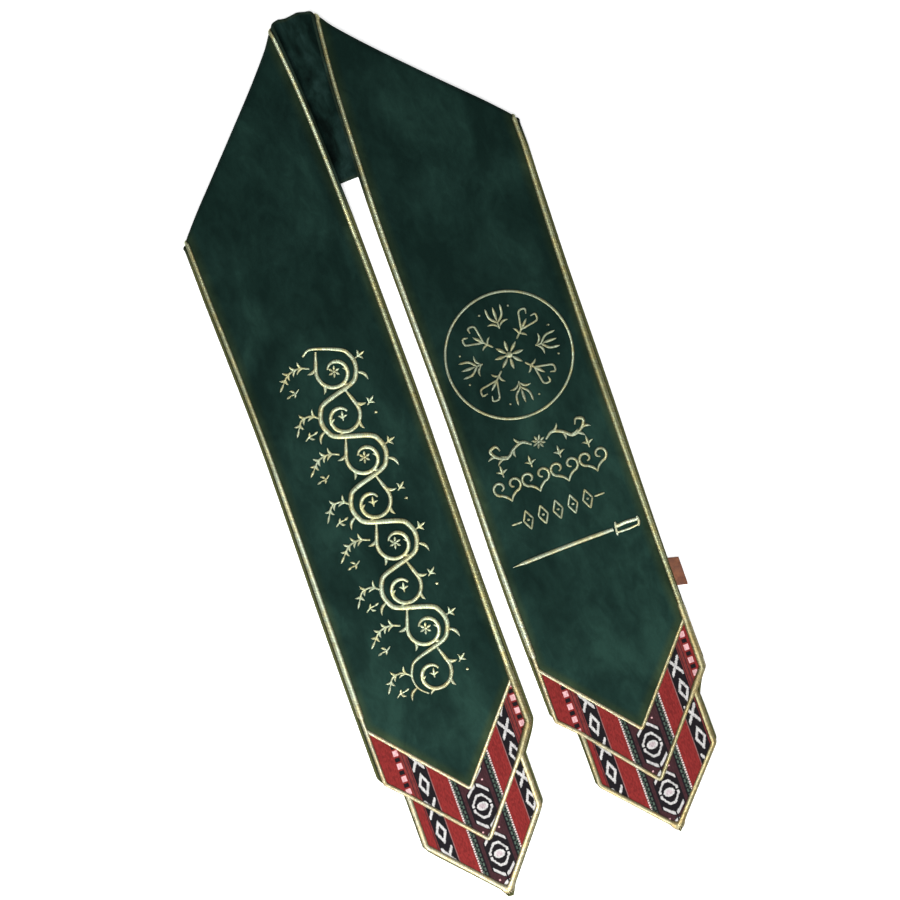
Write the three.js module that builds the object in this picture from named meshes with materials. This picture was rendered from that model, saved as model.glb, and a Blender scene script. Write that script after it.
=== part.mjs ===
// A sash worn round the neck: one long strip of velvet on a backing cloth, with gold edging and
// woven cloth on its two stepped arrow ends. It lies flat. The neck part lies face down, and each
// panel is folded up over it along a slanting crease, so that both panels lie face up, side by side.
//
// A place on the strip is given by "across" and by where it is along the strip. Across runs from
// -75, which is the outer edge of a panel and the lower edge of the neck, to 75, which is the inner
// edge of a panel and the upper edge of the neck. On a panel, y says where along the strip it is.
import * as THREE from 'three';

// Sizes are in millimetres.
const HALF_WIDTH = 75;

// Each layer of cloth lies between two heights above the back face of the backing.
const BACKING = { from: 0, to: 1.1 };
const FACING = { from: 1.4, to: 2.6 };
const SEWING_GAP = 0.3;

// The gold edging: its width, and how far its middle lies inside the edge.
const CORD_WIDTH = 3.4;
const CORD_INSET = 4.9;
const CORD_LANE = HALF_WIDTH - CORD_INSET;

// Where a panel comes down from the neck that it lies on: on the neck above top, on the ground below foot.
const STEP_DOWN = { top: 244, foot: 206 };

// The radius that the back face turns round at a crease: at the outer edge, and from there inwards.
const TURN_RADIUS = { edge: 0.9, inside: 2.0, fullAt: -45 };
const TURN_STEPS = 6;

// The neck's two edges, seen from above. The creases pull them in over creaseReach.
const NECK = {
  lower: [
    { x: -160, y: 253.5 },
    { x: 0, y: 259.2 },
    { x: 160, y: 262.5 },
  ],
  upper: [
    { x: -160, y: 405 },
    { x: -60, y: 411 },
    { x: -18, y: 416.3 },
    { x: 4, y: 415.8 },
    { x: 18, y: 412.5 },
    { x: 60, y: 412 },
    { x: 160, y: 414 },
  ],
  creaseReach: 45,
};

// Soft upright pleats in the neck between the panels. They are full above one y, and none lie below another.
const NECK_PLEATS = [
  { x: -9, reach: 6, height: 1.6 },
  { x: 4, reach: 6.5, height: 1.9 },
];
const PLEAT_FADE = { none: 300, full: 400, fromCrease: 12 };

// The two panels. Course gives the middle line's distance from x = 0 and the width, down the panel.
// Crease gives the y of the fold line for a place across.
const LEFT = {
  sign: -1,
  course: [
    { y: -400, centre: 84.0, width: 150.0 },
    { y: -240, centre: 84.0, width: 150.0 },
    { y: -100, centre: 84.8, width: 149.0 },
    { y: 55, centre: 83.1, width: 149.8 },
    { y: 150, centre: 84.6, width: 150.7 },
    { y: 245, centre: 86.5, width: 150.5 },
    { y: 350, centre: 91.0, width: 151.0 },
    { y: 415, centre: 96.6, width: 151.0 },
  ],
  crease: [
    { across: -75, y: 249 },
    { across: 0, y: 327.6 },
    { across: 60, y: 390.5 },
    { across: 75, y: 409 },
  ],
  endY: -390,
};
const RIGHT = {
  sign: 1,
  course: [
    { y: -400, centre: 78.4, width: 147.2 },
    { y: -240, centre: 78.4, width: 147.2 },
    { y: -130, centre: 77.4, width: 148.6 },
    { y: 20, centre: 80.0, width: 148.7 },
    { y: 125, centre: 80.1, width: 150.3 },
    { y: 200, centre: 80.6, width: 152.5 },
    { y: 258, centre: 81.2, width: 151.5 },
    { y: 350, centre: 84.8, width: 151.5 },
    { y: 415, centre: 90.6, width: 152.0 },
  ],
  crease: [
    { across: -75, y: 258 },
    { across: 0, y: 331.6 },
    { across: 60, y: 391 },
    { across: 75, y: 408.5 },
  ],
  endY: -386,
};

// Places where the cloth swells off the ground: the middle of each, its half length across and along.
const SWELLS = [
  { panel: LEFT, across: -28, y: 120, wide: 34, long: 70, height: 1.3 },
  { panel: LEFT, across: 34, y: 20, wide: 30, long: 80, height: 1.0 },
  { panel: LEFT, across: -20, y: -110, wide: 38, long: 60, height: 0.9 },
  { panel: RIGHT, across: 30, y: 140, wide: 34, long: 60, height: 1.2 },
  { panel: RIGHT, across: -36, y: 10, wide: 28, long: 90, height: 1.1 },
  { panel: RIGHT, across: 20, y: -120, wide: 36, long: 56, height: 0.8 },
];

// The arrow ends. Each arrow line drops from both sides to a tip, by CHEVRON_SLOPE for each
// millimetre across. The first arrow has the strip's width, and the second is narrower.
const CHEVRON_SLOPE = 1.14;
const LINE_COS = 1 / Math.hypot(1, CHEVRON_SLOPE);
const ARROW_STEP = 47.5;
const SECOND_HALF_WIDTH = 58;
const END_ZONE_TOP = -195;

// The tips lie a little to the right of each panel's middle line.
const TIP_SHIFT = { amount: 2.5, from: -180, full: -280 };

// The leather label: its two ends at the panel's edge, how far it stands out, and how much it slants.
const LABEL = { top: -153.2, bottom: -179.2, slant: 2.4, reach: 9.4, thickness: 1.6 };

const COLOURS = {
  velvet: { color: 0x1f3a33, roughness: 0.85, metalness: 0 },
  backing: { color: 0x182c27, roughness: 0.9, metalness: 0 },
  gold: { color: 0xd8cfa0, roughness: 0.4, metalness: 0.6 },
  woven: { color: 0x9b2b2e, roughness: 0.85, metalness: 0 },
  leather: { color: 0x84522f, roughness: 0.6, metalness: 0 },
};

// A smooth curve through a table's rows: the value of one column where another column has this value.
function follow(table, keyColumn, column, key) {
  const last = table.length - 1;
  let i = 0;
  while (i < last - 1 && key > table[i + 1][keyColumn]) i += 1;
  const slopeAt = (k) => {
    const before = table[Math.max(k - 1, 0)];
    const after = table[Math.min(k + 1, last)];
    return (after[column] - before[column]) / (after[keyColumn] - before[keyColumn]);
  };
  const span = table[i + 1][keyColumn] - table[i][keyColumn];
  const t = (key - table[i][keyColumn]) / span;
  if (t < 0) return table[i][column] + slopeAt(i) * t * span;
  if (t > 1) return table[i + 1][column] + slopeAt(i + 1) * (t - 1) * span;
  const start = (1 + 2 * t) * (1 - t) ** 2 * table[i][column] + t * (1 - t) ** 2 * span * slopeAt(i);
  const end = t * t * (3 - 2 * t) * table[i + 1][column] + t * t * (t - 1) * span * slopeAt(i + 1);
  return start + end;
}

// Goes smoothly from 0 at from to 1 at to, which may be the lower of the two.
function rise(from, to, value) {
  const t = THREE.MathUtils.clamp((value - from) / (to - from), 0, 1);
  return t * t * (3 - 2 * t);
}

// A round hump, 1 in the middle and 0 from distance 1 outwards.
function hump(distance) {
  return distance >= 1 ? 0 : Math.cos((distance * Math.PI) / 2) ** 2;
}

function turnRadius(across) {
  const share = rise(-HALF_WIDTH, TURN_RADIUS.fullAt, across);
  return THREE.MathUtils.lerp(TURN_RADIUS.edge, TURN_RADIUS.inside, share);
}

function creaseY(panel, across) {
  return follow(panel.crease, 'across', 'y', across);
}

// The height of a panel's back face: on the neck at the top, on the ground further down, with swells.
function panelHeight(panel, across, y) {
  const onNeck = FACING.to + 2 * turnRadius(across);
  const height = onNeck * rise(STEP_DOWN.foot, STEP_DOWN.top, y);
  const swell = SWELLS.filter((s) => s.panel === panel).reduce(
    (sum, s) => sum + s.height * hump(Math.hypot((across - s.across) / s.wide, (y - s.y) / s.long)),
    0,
  );
  return height + swell;
}

function panelPoint(panel, across, y) {
  const centre = follow(panel.course, 'y', 'centre', y);
  const width = follow(panel.course, 'y', 'width', y);
  const offMiddle = Math.min(Math.abs(across) / HALF_WIDTH, 1);
  const tipShift = TIP_SHIFT.amount * rise(TIP_SHIFT.from, TIP_SHIFT.full, y) * (1 - offMiddle ** 2);
  const x = panel.sign * (centre - (across * width) / (2 * HALF_WIDTH)) + tipShift;
  return new THREE.Vector3(x, y, panelHeight(panel, across, y));
}

// A point on the turned cloth of a crease: angle 0 is where the panel ends, and pi is where the neck begins.
function turnPoint(panel, across, angle) {
  const radius = turnRadius(across);
  const start = panelPoint(panel, across, creaseY(panel, across));
  const ahead = panelPoint(panel, across + 1, creaseY(panel, across + 1));
  const behind = panelPoint(panel, across - 1, creaseY(panel, across - 1));
  const along = new THREE.Vector2(ahead.x - behind.x, ahead.y - behind.y).normalize();
  const outward = new THREE.Vector2(panel.sign * along.y, -panel.sign * along.x);
  const slide = along.y / outward.y;
  const reach = radius * Math.sin(angle);
  const slid = radius * angle * slide;
  return new THREE.Vector3(
    start.x + outward.x * reach + along.x * slid,
    start.y + outward.y * reach + along.y * slid,
    FACING.to + radius + radius * Math.cos(angle),
  );
}

// The neck's back face. It joins the two creases, and between them its upper edge stands a little higher.
function neckPoint(across, x) {
  const plain = (px) => {
    const lower = follow(NECK.lower, 'x', 'y', px);
    const upper = follow(NECK.upper, 'x', 'y', px);
    return THREE.MathUtils.lerp(lower, upper, (across + HALF_WIDTH) / (2 * HALF_WIDTH));
  };
  const left = turnPoint(LEFT, across, Math.PI);
  const right = turnPoint(RIGHT, across, Math.PI);
  const reach = Math.min(NECK.creaseReach, (right.x - left.x) / 2);
  const leftShare = 1 - rise(0, reach, x - left.x);
  const rightShare = 1 - rise(0, reach, right.x - x);
  const y = plain(x) + (left.y - plain(left.x)) * leftShare + (right.y - plain(right.x)) * rightShare;
  const pleats = NECK_PLEATS.reduce((sum, p) => sum + p.height * hump(Math.abs(x - p.x) / p.reach), 0);
  const clearOfCreases = rise(0, PLEAT_FADE.fromCrease, Math.min(x - left.x, right.x - x));
  const z = FACING.to + pleats * rise(PLEAT_FADE.none, PLEAT_FADE.full, y) * clearOfCreases;
  return new THREE.Vector3(x, y, z);
}

// A row is a line over the strip: it gives the back face's point for a place across, moved on along
// the strip, from the left end to the right end, by nudge.
function panelRow(panel, yOf) {
  return (across, nudge) => panelPoint(panel, across, yOf(across) - panel.sign * nudge);
}

function turnRow(panel, angle) {
  return (across, nudge) => turnPoint(panel, across, angle - (panel.sign * nudge) / turnRadius(across));
}

function neckRow(xOf) {
  return (across, nudge) => neckPoint(across, xOf(across) + nudge);
}

function chevronRow(panel, tipY) {
  return panelRow(panel, (across) => tipY + CHEVRON_SLOPE * Math.abs(across));
}

// One place on a row: the back face's point, and the direction that the front faces there.
function seat(row, across) {
  const step = 0.4;
  const sideways = row(across + step, 0).sub(row(across - step, 0));
  const onwards = row(across, step).sub(row(across, -step));
  return { point: row(across, 0), front: sideways.cross(onwards).normalize() };
}

// Shares of the way from 0 to 1, leaving out both ends.
function between(count) {
  return Array.from({ length: count }, (_, i) => (i + 1) / (count + 1));
}

// The neck's rows are upright between the panels, and from there to the creases they slant over.
function neckRows() {
  const middle = { left: -22, right: 17, steps: 13 };
  const turnClearance = 2.5;
  const exit = (panel, across) => turnPoint(panel, across, Math.PI).x;
  const leftEnd = (across) => Math.max(middle.left, exit(LEFT, across) + turnClearance);
  const rightEnd = (across) => Math.min(middle.right, exit(RIGHT, across) - turnClearance);
  const blocks = [
    { from: (a) => exit(LEFT, a), to: leftEnd, shares: between(2) },
    { from: leftEnd, to: rightEnd, shares: [0, ...between(middle.steps - 1), 1] },
    { from: rightEnd, to: (a) => exit(RIGHT, a), shares: between(2) },
  ];
  return blocks.flatMap(({ from, to, shares }) =>
    shares.map((share) => neckRow((a) => THREE.MathUtils.lerp(from(a), to(a), share))));
}

// A panel's rows from the crease down to the top of its end.
function panelRows(panel) {
  const level = (from, to, count) =>
    Array.from({ length: count }, (_, i) => panelRow(panel, () => from + ((to - from) * (i + 1)) / count));
  const slanting = between(4).map((share) =>
    panelRow(panel, (a) => THREE.MathUtils.lerp(creaseY(panel, a), STEP_DOWN.top, share)));
  return [
    ...slanting,
    panelRow(panel, () => STEP_DOWN.top),
    ...level(STEP_DOWN.top, STEP_DOWN.foot, 5),
    ...level(STEP_DOWN.foot, END_ZONE_TOP, 14),
  ];
}

function turnRows(panel) {
  return Array.from({ length: TURN_STEPS + 1 }, (_, i) => turnRow(panel, (Math.PI * i) / TURN_STEPS));
}

// Every row from the top of the left end, over the neck, to the top of the right end.
const STRIP_ROWS = [
  ...panelRows(LEFT).reverse(),
  ...turnRows(LEFT),
  ...neckRows(),
  ...turnRows(RIGHT).reverse(),
  ...panelRows(RIGHT),
];

// The arrow lines of an end, by the y of their tips. The gold lines are given by their middles.
function arrowTips(panel) {
  const secondEdge = panel.endY;
  const tipCord = secondEdge + CORD_INSET / LINE_COS;
  const firstCord = tipCord + ARROW_STEP - 1;
  const firstEdge = firstCord - CORD_INSET / LINE_COS;
  return { secondEdge, tipCord, firstCord, firstEdge, velvetCord: firstCord + ARROW_STEP };
}

// Half of a gold line's width, and half with the sewing gap beside it, measured along y on an arrow line.
const CORD_RISE = CORD_WIDTH / 2 / LINE_COS;
const SEAM_RISE = (CORD_WIDTH / 2 + SEWING_GAP) / LINE_COS;

// Turns the places of a sheet, and the four-sided faces between them, into a closed wall. Faces run
// anticlockwise seen from the front.
function wall(seats, faces, { from, to }) {
  const count = seats.length;
  const positions = [from, to].flatMap((height) =>
    seats.flatMap(({ point, front }) => point.clone().addScaledVector(front, height).toArray()));
  const key = (a, b) => `${a},${b}`;
  const edges = faces.flatMap((face) => face.map((a, i) => [a, face[(i + 1) % face.length]]));
  const used = new Set(edges.map(([a, b]) => key(a, b)));
  const rims = edges.filter(([a, b]) => !used.has(key(b, a)));
  const tops = faces.flatMap(([a, b, c, d]) => [a, b, c, a, c, d].map((k) => k + count));
  const bottoms = faces.flatMap(([a, b, c, d]) => [a, c, b, a, d, c]);
  const sides = rims.flatMap(([a, b]) => [a, b, b + count, a, b + count, a + count]);
  const geometry = new THREE.BufferGeometry();
  geometry.setAttribute('position', new THREE.Float32BufferAttribute(positions, 3));
  geometry.setIndex([...tops, ...bottoms, ...sides]);
  geometry.computeVertexNormals();
  return geometry;
}

// A sheet over rows and lanes. Each block of rows may use only some of the lanes.
function sheet(blocks, heights) {
  const seats = [];
  const faces = [];
  const known = new Map();
  const place = (row, lane) => {
    const rowKnown = known.get(row) ?? known.set(row, new Map()).get(row);
    if (!rowKnown.has(lane)) rowKnown.set(lane, seats.push(seat(row, lane)) - 1);
    return rowKnown.get(lane);
  };
  for (const { rows, lanes } of blocks) {
    for (let i = 0; i < rows.length - 1; i += 1) {
      for (let j = 0; j < lanes.length - 1; j += 1) {
        const corners = [
          place(rows[i], lanes[j]),
          place(rows[i], lanes[j + 1]),
          place(rows[i + 1], lanes[j + 1]),
          place(rows[i + 1], lanes[j]),
        ];
        faces.push(corners);
      }
    }
  }
  return wall(seats, faces, heights);
}

// A narrow band between an inner and an outer line, given as pairs of places.
function ribbon(pairs, closed, heights) {
  const seats = pairs.flat();
  const steps = closed ? pairs.length : pairs.length - 1;
  const faces = Array.from({ length: steps }, (_, i) => {
    const next = (i + 1) % pairs.length;
    return [2 * i, 2 * i + 1, 2 * next + 1, 2 * next];
  });
  return wall(seats, faces, heights);
}

// Even lanes from one side to the other, with the given count of gaps between them.
function evenLanes(half, gaps) {
  return Array.from({ length: gaps + 1 }, (_, i) => half * ((2 * i) / gaps - 1));
}

// Rows evenly between two rows of one panel, in the direction from the first to the second.
function rowsBetween(panel, fromY, toY, count) {
  return between(count).map((share) =>
    panelRow(panel, (a) => THREE.MathUtils.lerp(fromY(a), toY(a), share)));
}

function chevronY(tipY) {
  return (across) => tipY + CHEVRON_SLOPE * Math.abs(across);
}

// Puts the rows of an end in the order that runs from the left end to the right end.
function inOrder(panel, rows) {
  return panel === LEFT ? [...rows].reverse() : rows;
}

// The backing and the velvet share their lanes, so that they bend alike.
const FACING_HALF_WIDTH = CORD_LANE - CORD_WIDTH / 2 - SEWING_GAP;
const SECOND_LANES = evenLanes(SECOND_HALF_WIDTH, 6);
const FACING_LANES = [-FACING_HALF_WIDTH, ...SECOND_LANES, FACING_HALF_WIDTH];

function backing() {
  const lanes = [-HALF_WIDTH, ...FACING_LANES, HALF_WIDTH];
  const blocks = [LEFT, RIGHT].flatMap((panel) => {
    const tips = arrowTips(panel);
    const top = panel === LEFT ? STRIP_ROWS[0] : STRIP_ROWS[STRIP_ROWS.length - 1];
    const firstEdge = chevronRow(panel, tips.firstEdge);
    const down = [
      top,
      ...rowsBetween(panel, () => END_ZONE_TOP, chevronY(tips.firstEdge), 4),
      firstEdge,
    ];
    const second = [
      firstEdge,
      ...rowsBetween(panel, chevronY(tips.firstEdge), chevronY(tips.secondEdge), 1),
      chevronRow(panel, tips.secondEdge),
    ];
    return [
      { rows: inOrder(panel, down), lanes },
      { rows: inOrder(panel, second), lanes: SECOND_LANES },
    ];
  });
  return sheet([{ rows: STRIP_ROWS, lanes }, ...blocks], BACKING);
}

function velvetFront() {
  const ends = [LEFT, RIGHT].map((panel) => {
    const bottom = arrowTips(panel).velvetCord + SEAM_RISE;
    const rows = [
      ...rowsBetween(panel, () => END_ZONE_TOP, chevronY(bottom), 2),
      chevronRow(panel, bottom),
    ];
    return inOrder(panel, rows);
  });
  return sheet([{ rows: [...ends[0], ...STRIP_ROWS, ...ends[1]], lanes: FACING_LANES }], FACING);
}

// The edging runs up one long edge, round the first arrow of an end, back down the other long edge
// and round the first arrow of the other end.
function edgeCord() {
  const inner = CORD_LANE - CORD_WIDTH / 2;
  const outer = CORD_LANE + CORD_WIDTH / 2;
  const pairAt = (row, sign) => [seat(row, sign * inner), seat(row, sign * outer)];
  const roundEnd = (panel, shares) => {
    const tip = arrowTips(panel).firstCord;
    const innerLine = chevronRow(panel, tip + CORD_RISE);
    const outerLine = chevronRow(panel, tip - CORD_RISE);
    return shares.map((share) => [seat(innerLine, share * inner), seat(outerLine, share * outer)]);
  };
  const acrossShares = evenLanes(1, 10);
  const pairs = [
    ...STRIP_ROWS.map((row) => pairAt(row, 1)),
    ...roundEnd(RIGHT, [...acrossShares].reverse()),
    ...[...STRIP_ROWS].reverse().map((row) => pairAt(row, -1)),
    ...roundEnd(LEFT, acrossShares),
  ];
  return ribbon(pairs, true, FACING);
}

function velvetCord(panel) {
  const lanes = evenLanes(FACING_HALF_WIDTH, 8);
  const tip = arrowTips(panel).velvetCord;
  const rows = [chevronRow(panel, tip + CORD_RISE), chevronRow(panel, tip - CORD_RISE)];
  return sheet([{ rows: inOrder(panel, rows), lanes }], FACING);
}

// The second arrow's edging starts under the first arrow's edging on both sides.
function tipCord(panel) {
  const tips = arrowTips(panel);
  const middle = SECOND_HALF_WIDTH - CORD_INSET;
  const inner = middle - CORD_WIDTH / 2;
  const outer = middle + CORD_WIDTH / 2;
  const start = chevronRow(panel, tips.firstCord - SEAM_RISE);
  const innerLine = chevronRow(panel, tips.tipCord + CORD_RISE);
  const outerLine = chevronRow(panel, tips.tipCord - CORD_RISE);
  const shares = evenLanes(1, 8);
  const ordered = panel === LEFT ? shares : [...shares].reverse();
  const pairs = [
    [seat(start, ordered[0] * inner), seat(start, ordered[0] * outer)],
    ...ordered.map((share) => [seat(innerLine, share * inner), seat(outerLine, share * outer)]),
    [seat(start, -ordered[0] * inner), seat(start, -ordered[0] * outer)],
  ];
  return ribbon(pairs, false, FACING);
}

// Woven cloth between two arrow lines, given by their tips.
function band(panel, half, topTip, bottomTip) {
  const lanes = evenLanes(half, 8);
  const rows = [
    chevronRow(panel, topTip),
    ...rowsBetween(panel, chevronY(topTip), chevronY(bottomTip), 1),
    chevronRow(panel, bottomTip),
  ];
  return sheet([{ rows: inOrder(panel, rows), lanes }], FACING);
}

function upperBand(panel) {
  const tips = arrowTips(panel);
  return band(panel, FACING_HALF_WIDTH, tips.velvetCord - SEAM_RISE, tips.firstCord + SEAM_RISE);
}

function lowerBand(panel) {
  const tips = arrowTips(panel);
  const half = SECOND_HALF_WIDTH - CORD_INSET - CORD_WIDTH / 2 - SEWING_GAP;
  return band(panel, half, tips.firstCord - SEAM_RISE, tips.tipCord + SEAM_RISE);
}

// The leather tab stands out of the right panel's outer edge and lies on the ground.
function label() {
  const edge = (y) => panelPoint(RIGHT, -HALF_WIDTH, y).x + SEWING_GAP;
  const outline = new THREE.Shape([
    new THREE.Vector2(edge(LABEL.bottom), LABEL.bottom),
    new THREE.Vector2(edge(LABEL.bottom) + LABEL.reach, LABEL.bottom - LABEL.slant),
    new THREE.Vector2(edge(LABEL.top) + LABEL.reach, LABEL.top - LABEL.slant),
    new THREE.Vector2(edge(LABEL.top), LABEL.top),
  ]);
  return new THREE.ExtrudeGeometry(outline, { depth: LABEL.thickness, bevelEnabled: false });
}

const PIECES = [
  { name: 'backing', geometry: backing(), look: COLOURS.backing },
  { name: 'velvet_front', geometry: velvetFront(), look: COLOURS.velvet },
  { name: 'edge_cord', geometry: edgeCord(), look: COLOURS.gold },
  { name: 'left_v_cord', geometry: velvetCord(LEFT), look: COLOURS.gold },
  { name: 'right_v_cord', geometry: velvetCord(RIGHT), look: COLOURS.gold },
  { name: 'left_tip_cord', geometry: tipCord(LEFT), look: COLOURS.gold },
  { name: 'right_tip_cord', geometry: tipCord(RIGHT), look: COLOURS.gold },
  { name: 'left_upper_band', geometry: upperBand(LEFT), look: COLOURS.woven },
  { name: 'right_upper_band', geometry: upperBand(RIGHT), look: COLOURS.woven },
  { name: 'left_lower_band', geometry: lowerBand(LEFT), look: COLOURS.woven },
  { name: 'right_lower_band', geometry: lowerBand(RIGHT), look: COLOURS.woven },
  { name: 'label', geometry: label(), look: COLOURS.leather },
];

const sash = new THREE.Group();
for (const { name, geometry, look } of PIECES) {
  const mesh = new THREE.Mesh(geometry, new THREE.MeshStandardMaterial(look));
  mesh.name = name;
  sash.add(mesh);
}

// The origin is the middle of the sash, on the ground.
const extent = new THREE.Box3().setFromObject(sash, true);
const middle = extent.getCenter(new THREE.Vector3());
sash.children.forEach((mesh) => mesh.position.set(-middle.x, -middle.y, 0));

export default sash;
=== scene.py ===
import math

import bmesh
import bpy
import numpy as np
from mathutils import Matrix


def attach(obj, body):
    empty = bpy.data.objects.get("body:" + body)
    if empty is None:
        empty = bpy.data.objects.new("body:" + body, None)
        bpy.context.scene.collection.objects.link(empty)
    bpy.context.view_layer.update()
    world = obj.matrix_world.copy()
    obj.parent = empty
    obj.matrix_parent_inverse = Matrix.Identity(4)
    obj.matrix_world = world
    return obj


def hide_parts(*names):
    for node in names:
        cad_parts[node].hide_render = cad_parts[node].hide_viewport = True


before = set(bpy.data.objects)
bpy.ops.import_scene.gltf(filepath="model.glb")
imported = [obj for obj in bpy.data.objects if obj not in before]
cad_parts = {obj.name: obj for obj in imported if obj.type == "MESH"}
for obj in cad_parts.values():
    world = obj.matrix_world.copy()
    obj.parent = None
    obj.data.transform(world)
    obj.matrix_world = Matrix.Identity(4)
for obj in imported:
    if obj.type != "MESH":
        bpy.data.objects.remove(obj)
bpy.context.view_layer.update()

# The tables and shapes below are drawn in millimetres. metres() puts them into the part's frame.
ORIGIN = np.array([-0.545, 13.23, 0.0])
HALF_WIDTH = 75.0

# Heights above the back face of the cloth.
BACKING_TOP = 1.15
VELVET = {"bottom": 1.3, "edge": 1.5, "top": 2.6}
CLOTH_TOP = 2.6

# The rolled rim outside the gold edging. It falls between two insets to the flat cloth, and its width is
# full above one place of the panels and half below the other.
RIM = {"height": 2.0, "low": 0.55, "roll": 1.3, "uneven": 0.06, "falls": (1.9, 3.0)}
RIM_WIDTH = {"full": -240, "half": -268}
RIM_UNDERCUT = {"height": 0.5, "reach": 1.1}
RIM_STEPS = (0, 0.12, 0.35, 0.7, 1.1, 1.6, 2.1, 2.5, 2.8, 3.1, 3.5)

# Where a panel comes down from the neck that it lies on, and the turned cloth of its crease.
STEP_DOWN = {"top": 244, "foot": 206}
TURN_RADIUS = {"edge": 0.9, "inside": 2.0, "full_at": -45}

# The ripple of the panels, and the places between which it fades towards the neck.
RIPPLE = {"height": 0.3, "full": 140, "none": 200}

NECK_LOWER = {"x": (-160, 0, 160), "y": (253.5, 259.2, 262.5)}
NECK_UPPER = {
    "x": (-160, -60, -19, -8, 3, 10, 18, 60, 160),
    "y": (405, 411, 416.4, 414.6, 415.9, 414.2, 411.8, 412, 414),
}
NECK_CREASE_REACH = 45
NECK_PLEATS = {"x": (-9, 4), "reach": (6, 6.5), "height": (1.6, 1.9)}
PLEAT_FADE = {"none": 300, "full": 400, "from_crease": 12}
WRINKLE = {"height": 0.35, "none": 262, "full": 300}

# The arrow ends. The lines slope about as steeply everywhere, and the second arrow is narrower.
LINE_COS = 0.66
SECOND_HALF_WIDTH = 58.4
END_ZONE_TOP = -195
ARROW_MIDDLE = -300
BLUNT_TIP = {"y": -380.0, "longer": 0.9, "reach": 3.2}

LABEL = {
    "top": -153.2,
    "bottom": -179.2,
    "slant": 2.4,
    "reach": 9.4,
    "thickness": 1.6,
    "leather": 0.72,
    "tuck": -2.0,
    "uneven": 0.12,
    "clearance": 0.15,
}


def rise(start, end, value):
    """Goes smoothly from 0 at start to 1 at end, which may be the lower of the two."""
    share = np.clip((np.asarray(value, float) - start) / (end - start), 0, 1)
    return share * share * (3 - 2 * share)


def hump(distance):
    """A round hump, 1 in the middle and 0 from distance 1 outwards."""
    return np.cos(np.minimum(distance, 1) * math.pi / 2) ** 2


def follow(table, key, column, at):
    """A smooth curve through a table: the value of one column where another column has this value."""
    keys = np.array(table[key], float)
    values = np.array(table[column], float)
    at = np.asarray(at, float)
    last = len(keys) - 1
    before = np.maximum(np.arange(last + 1) - 1, 0)
    after = np.minimum(np.arange(last + 1) + 1, last)
    slopes = (values[after] - values[before]) / (keys[after] - keys[before])
    i = np.searchsorted(keys[1:-1], at, side="left")
    span = keys[i + 1] - keys[i]
    t = (at - keys[i]) / span
    start = (1 + 2 * t) * (1 - t) ** 2 * values[i] + t * (1 - t) ** 2 * span * slopes[i]
    end = t * t * (3 - 2 * t) * values[i + 1] + t * t * (t - 1) * span * slopes[i + 1]
    below = values[i] + slopes[i] * t * span
    above = values[i + 1] + slopes[i + 1] * (t - 1) * span
    return np.where(t < 0, below, np.where(t > 1, above, start + end))


def straight(table, at):
    """The y of a broken line through a table's points, carried on beyond its ends."""
    x = np.array(table["x"], float)
    y = np.array(table["y"], float)
    i = np.clip(np.searchsorted(x, at) - 1, 0, len(x) - 2)
    return y[i] + (at - x[i]) * (y[i + 1] - y[i]) / (x[i + 1] - x[i])


def unit(vectors):
    return vectors / np.linalg.norm(vectors, axis=-1, keepdims=True)


def metres(points):
    return (points - ORIGIN) * 0.001


def turn_radius(across):
    share = rise(-HALF_WIDTH, TURN_RADIUS["full_at"], across)
    return TURN_RADIUS["edge"] + (TURN_RADIUS["inside"] - TURN_RADIUS["edge"]) * share


def round_corner(across, start, reach, drop):
    """How far a cut edge is rounded off beside a corner of an arrow."""
    return drop * np.clip((np.abs(across) - start) / reach, 0, 1) ** 2


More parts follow.
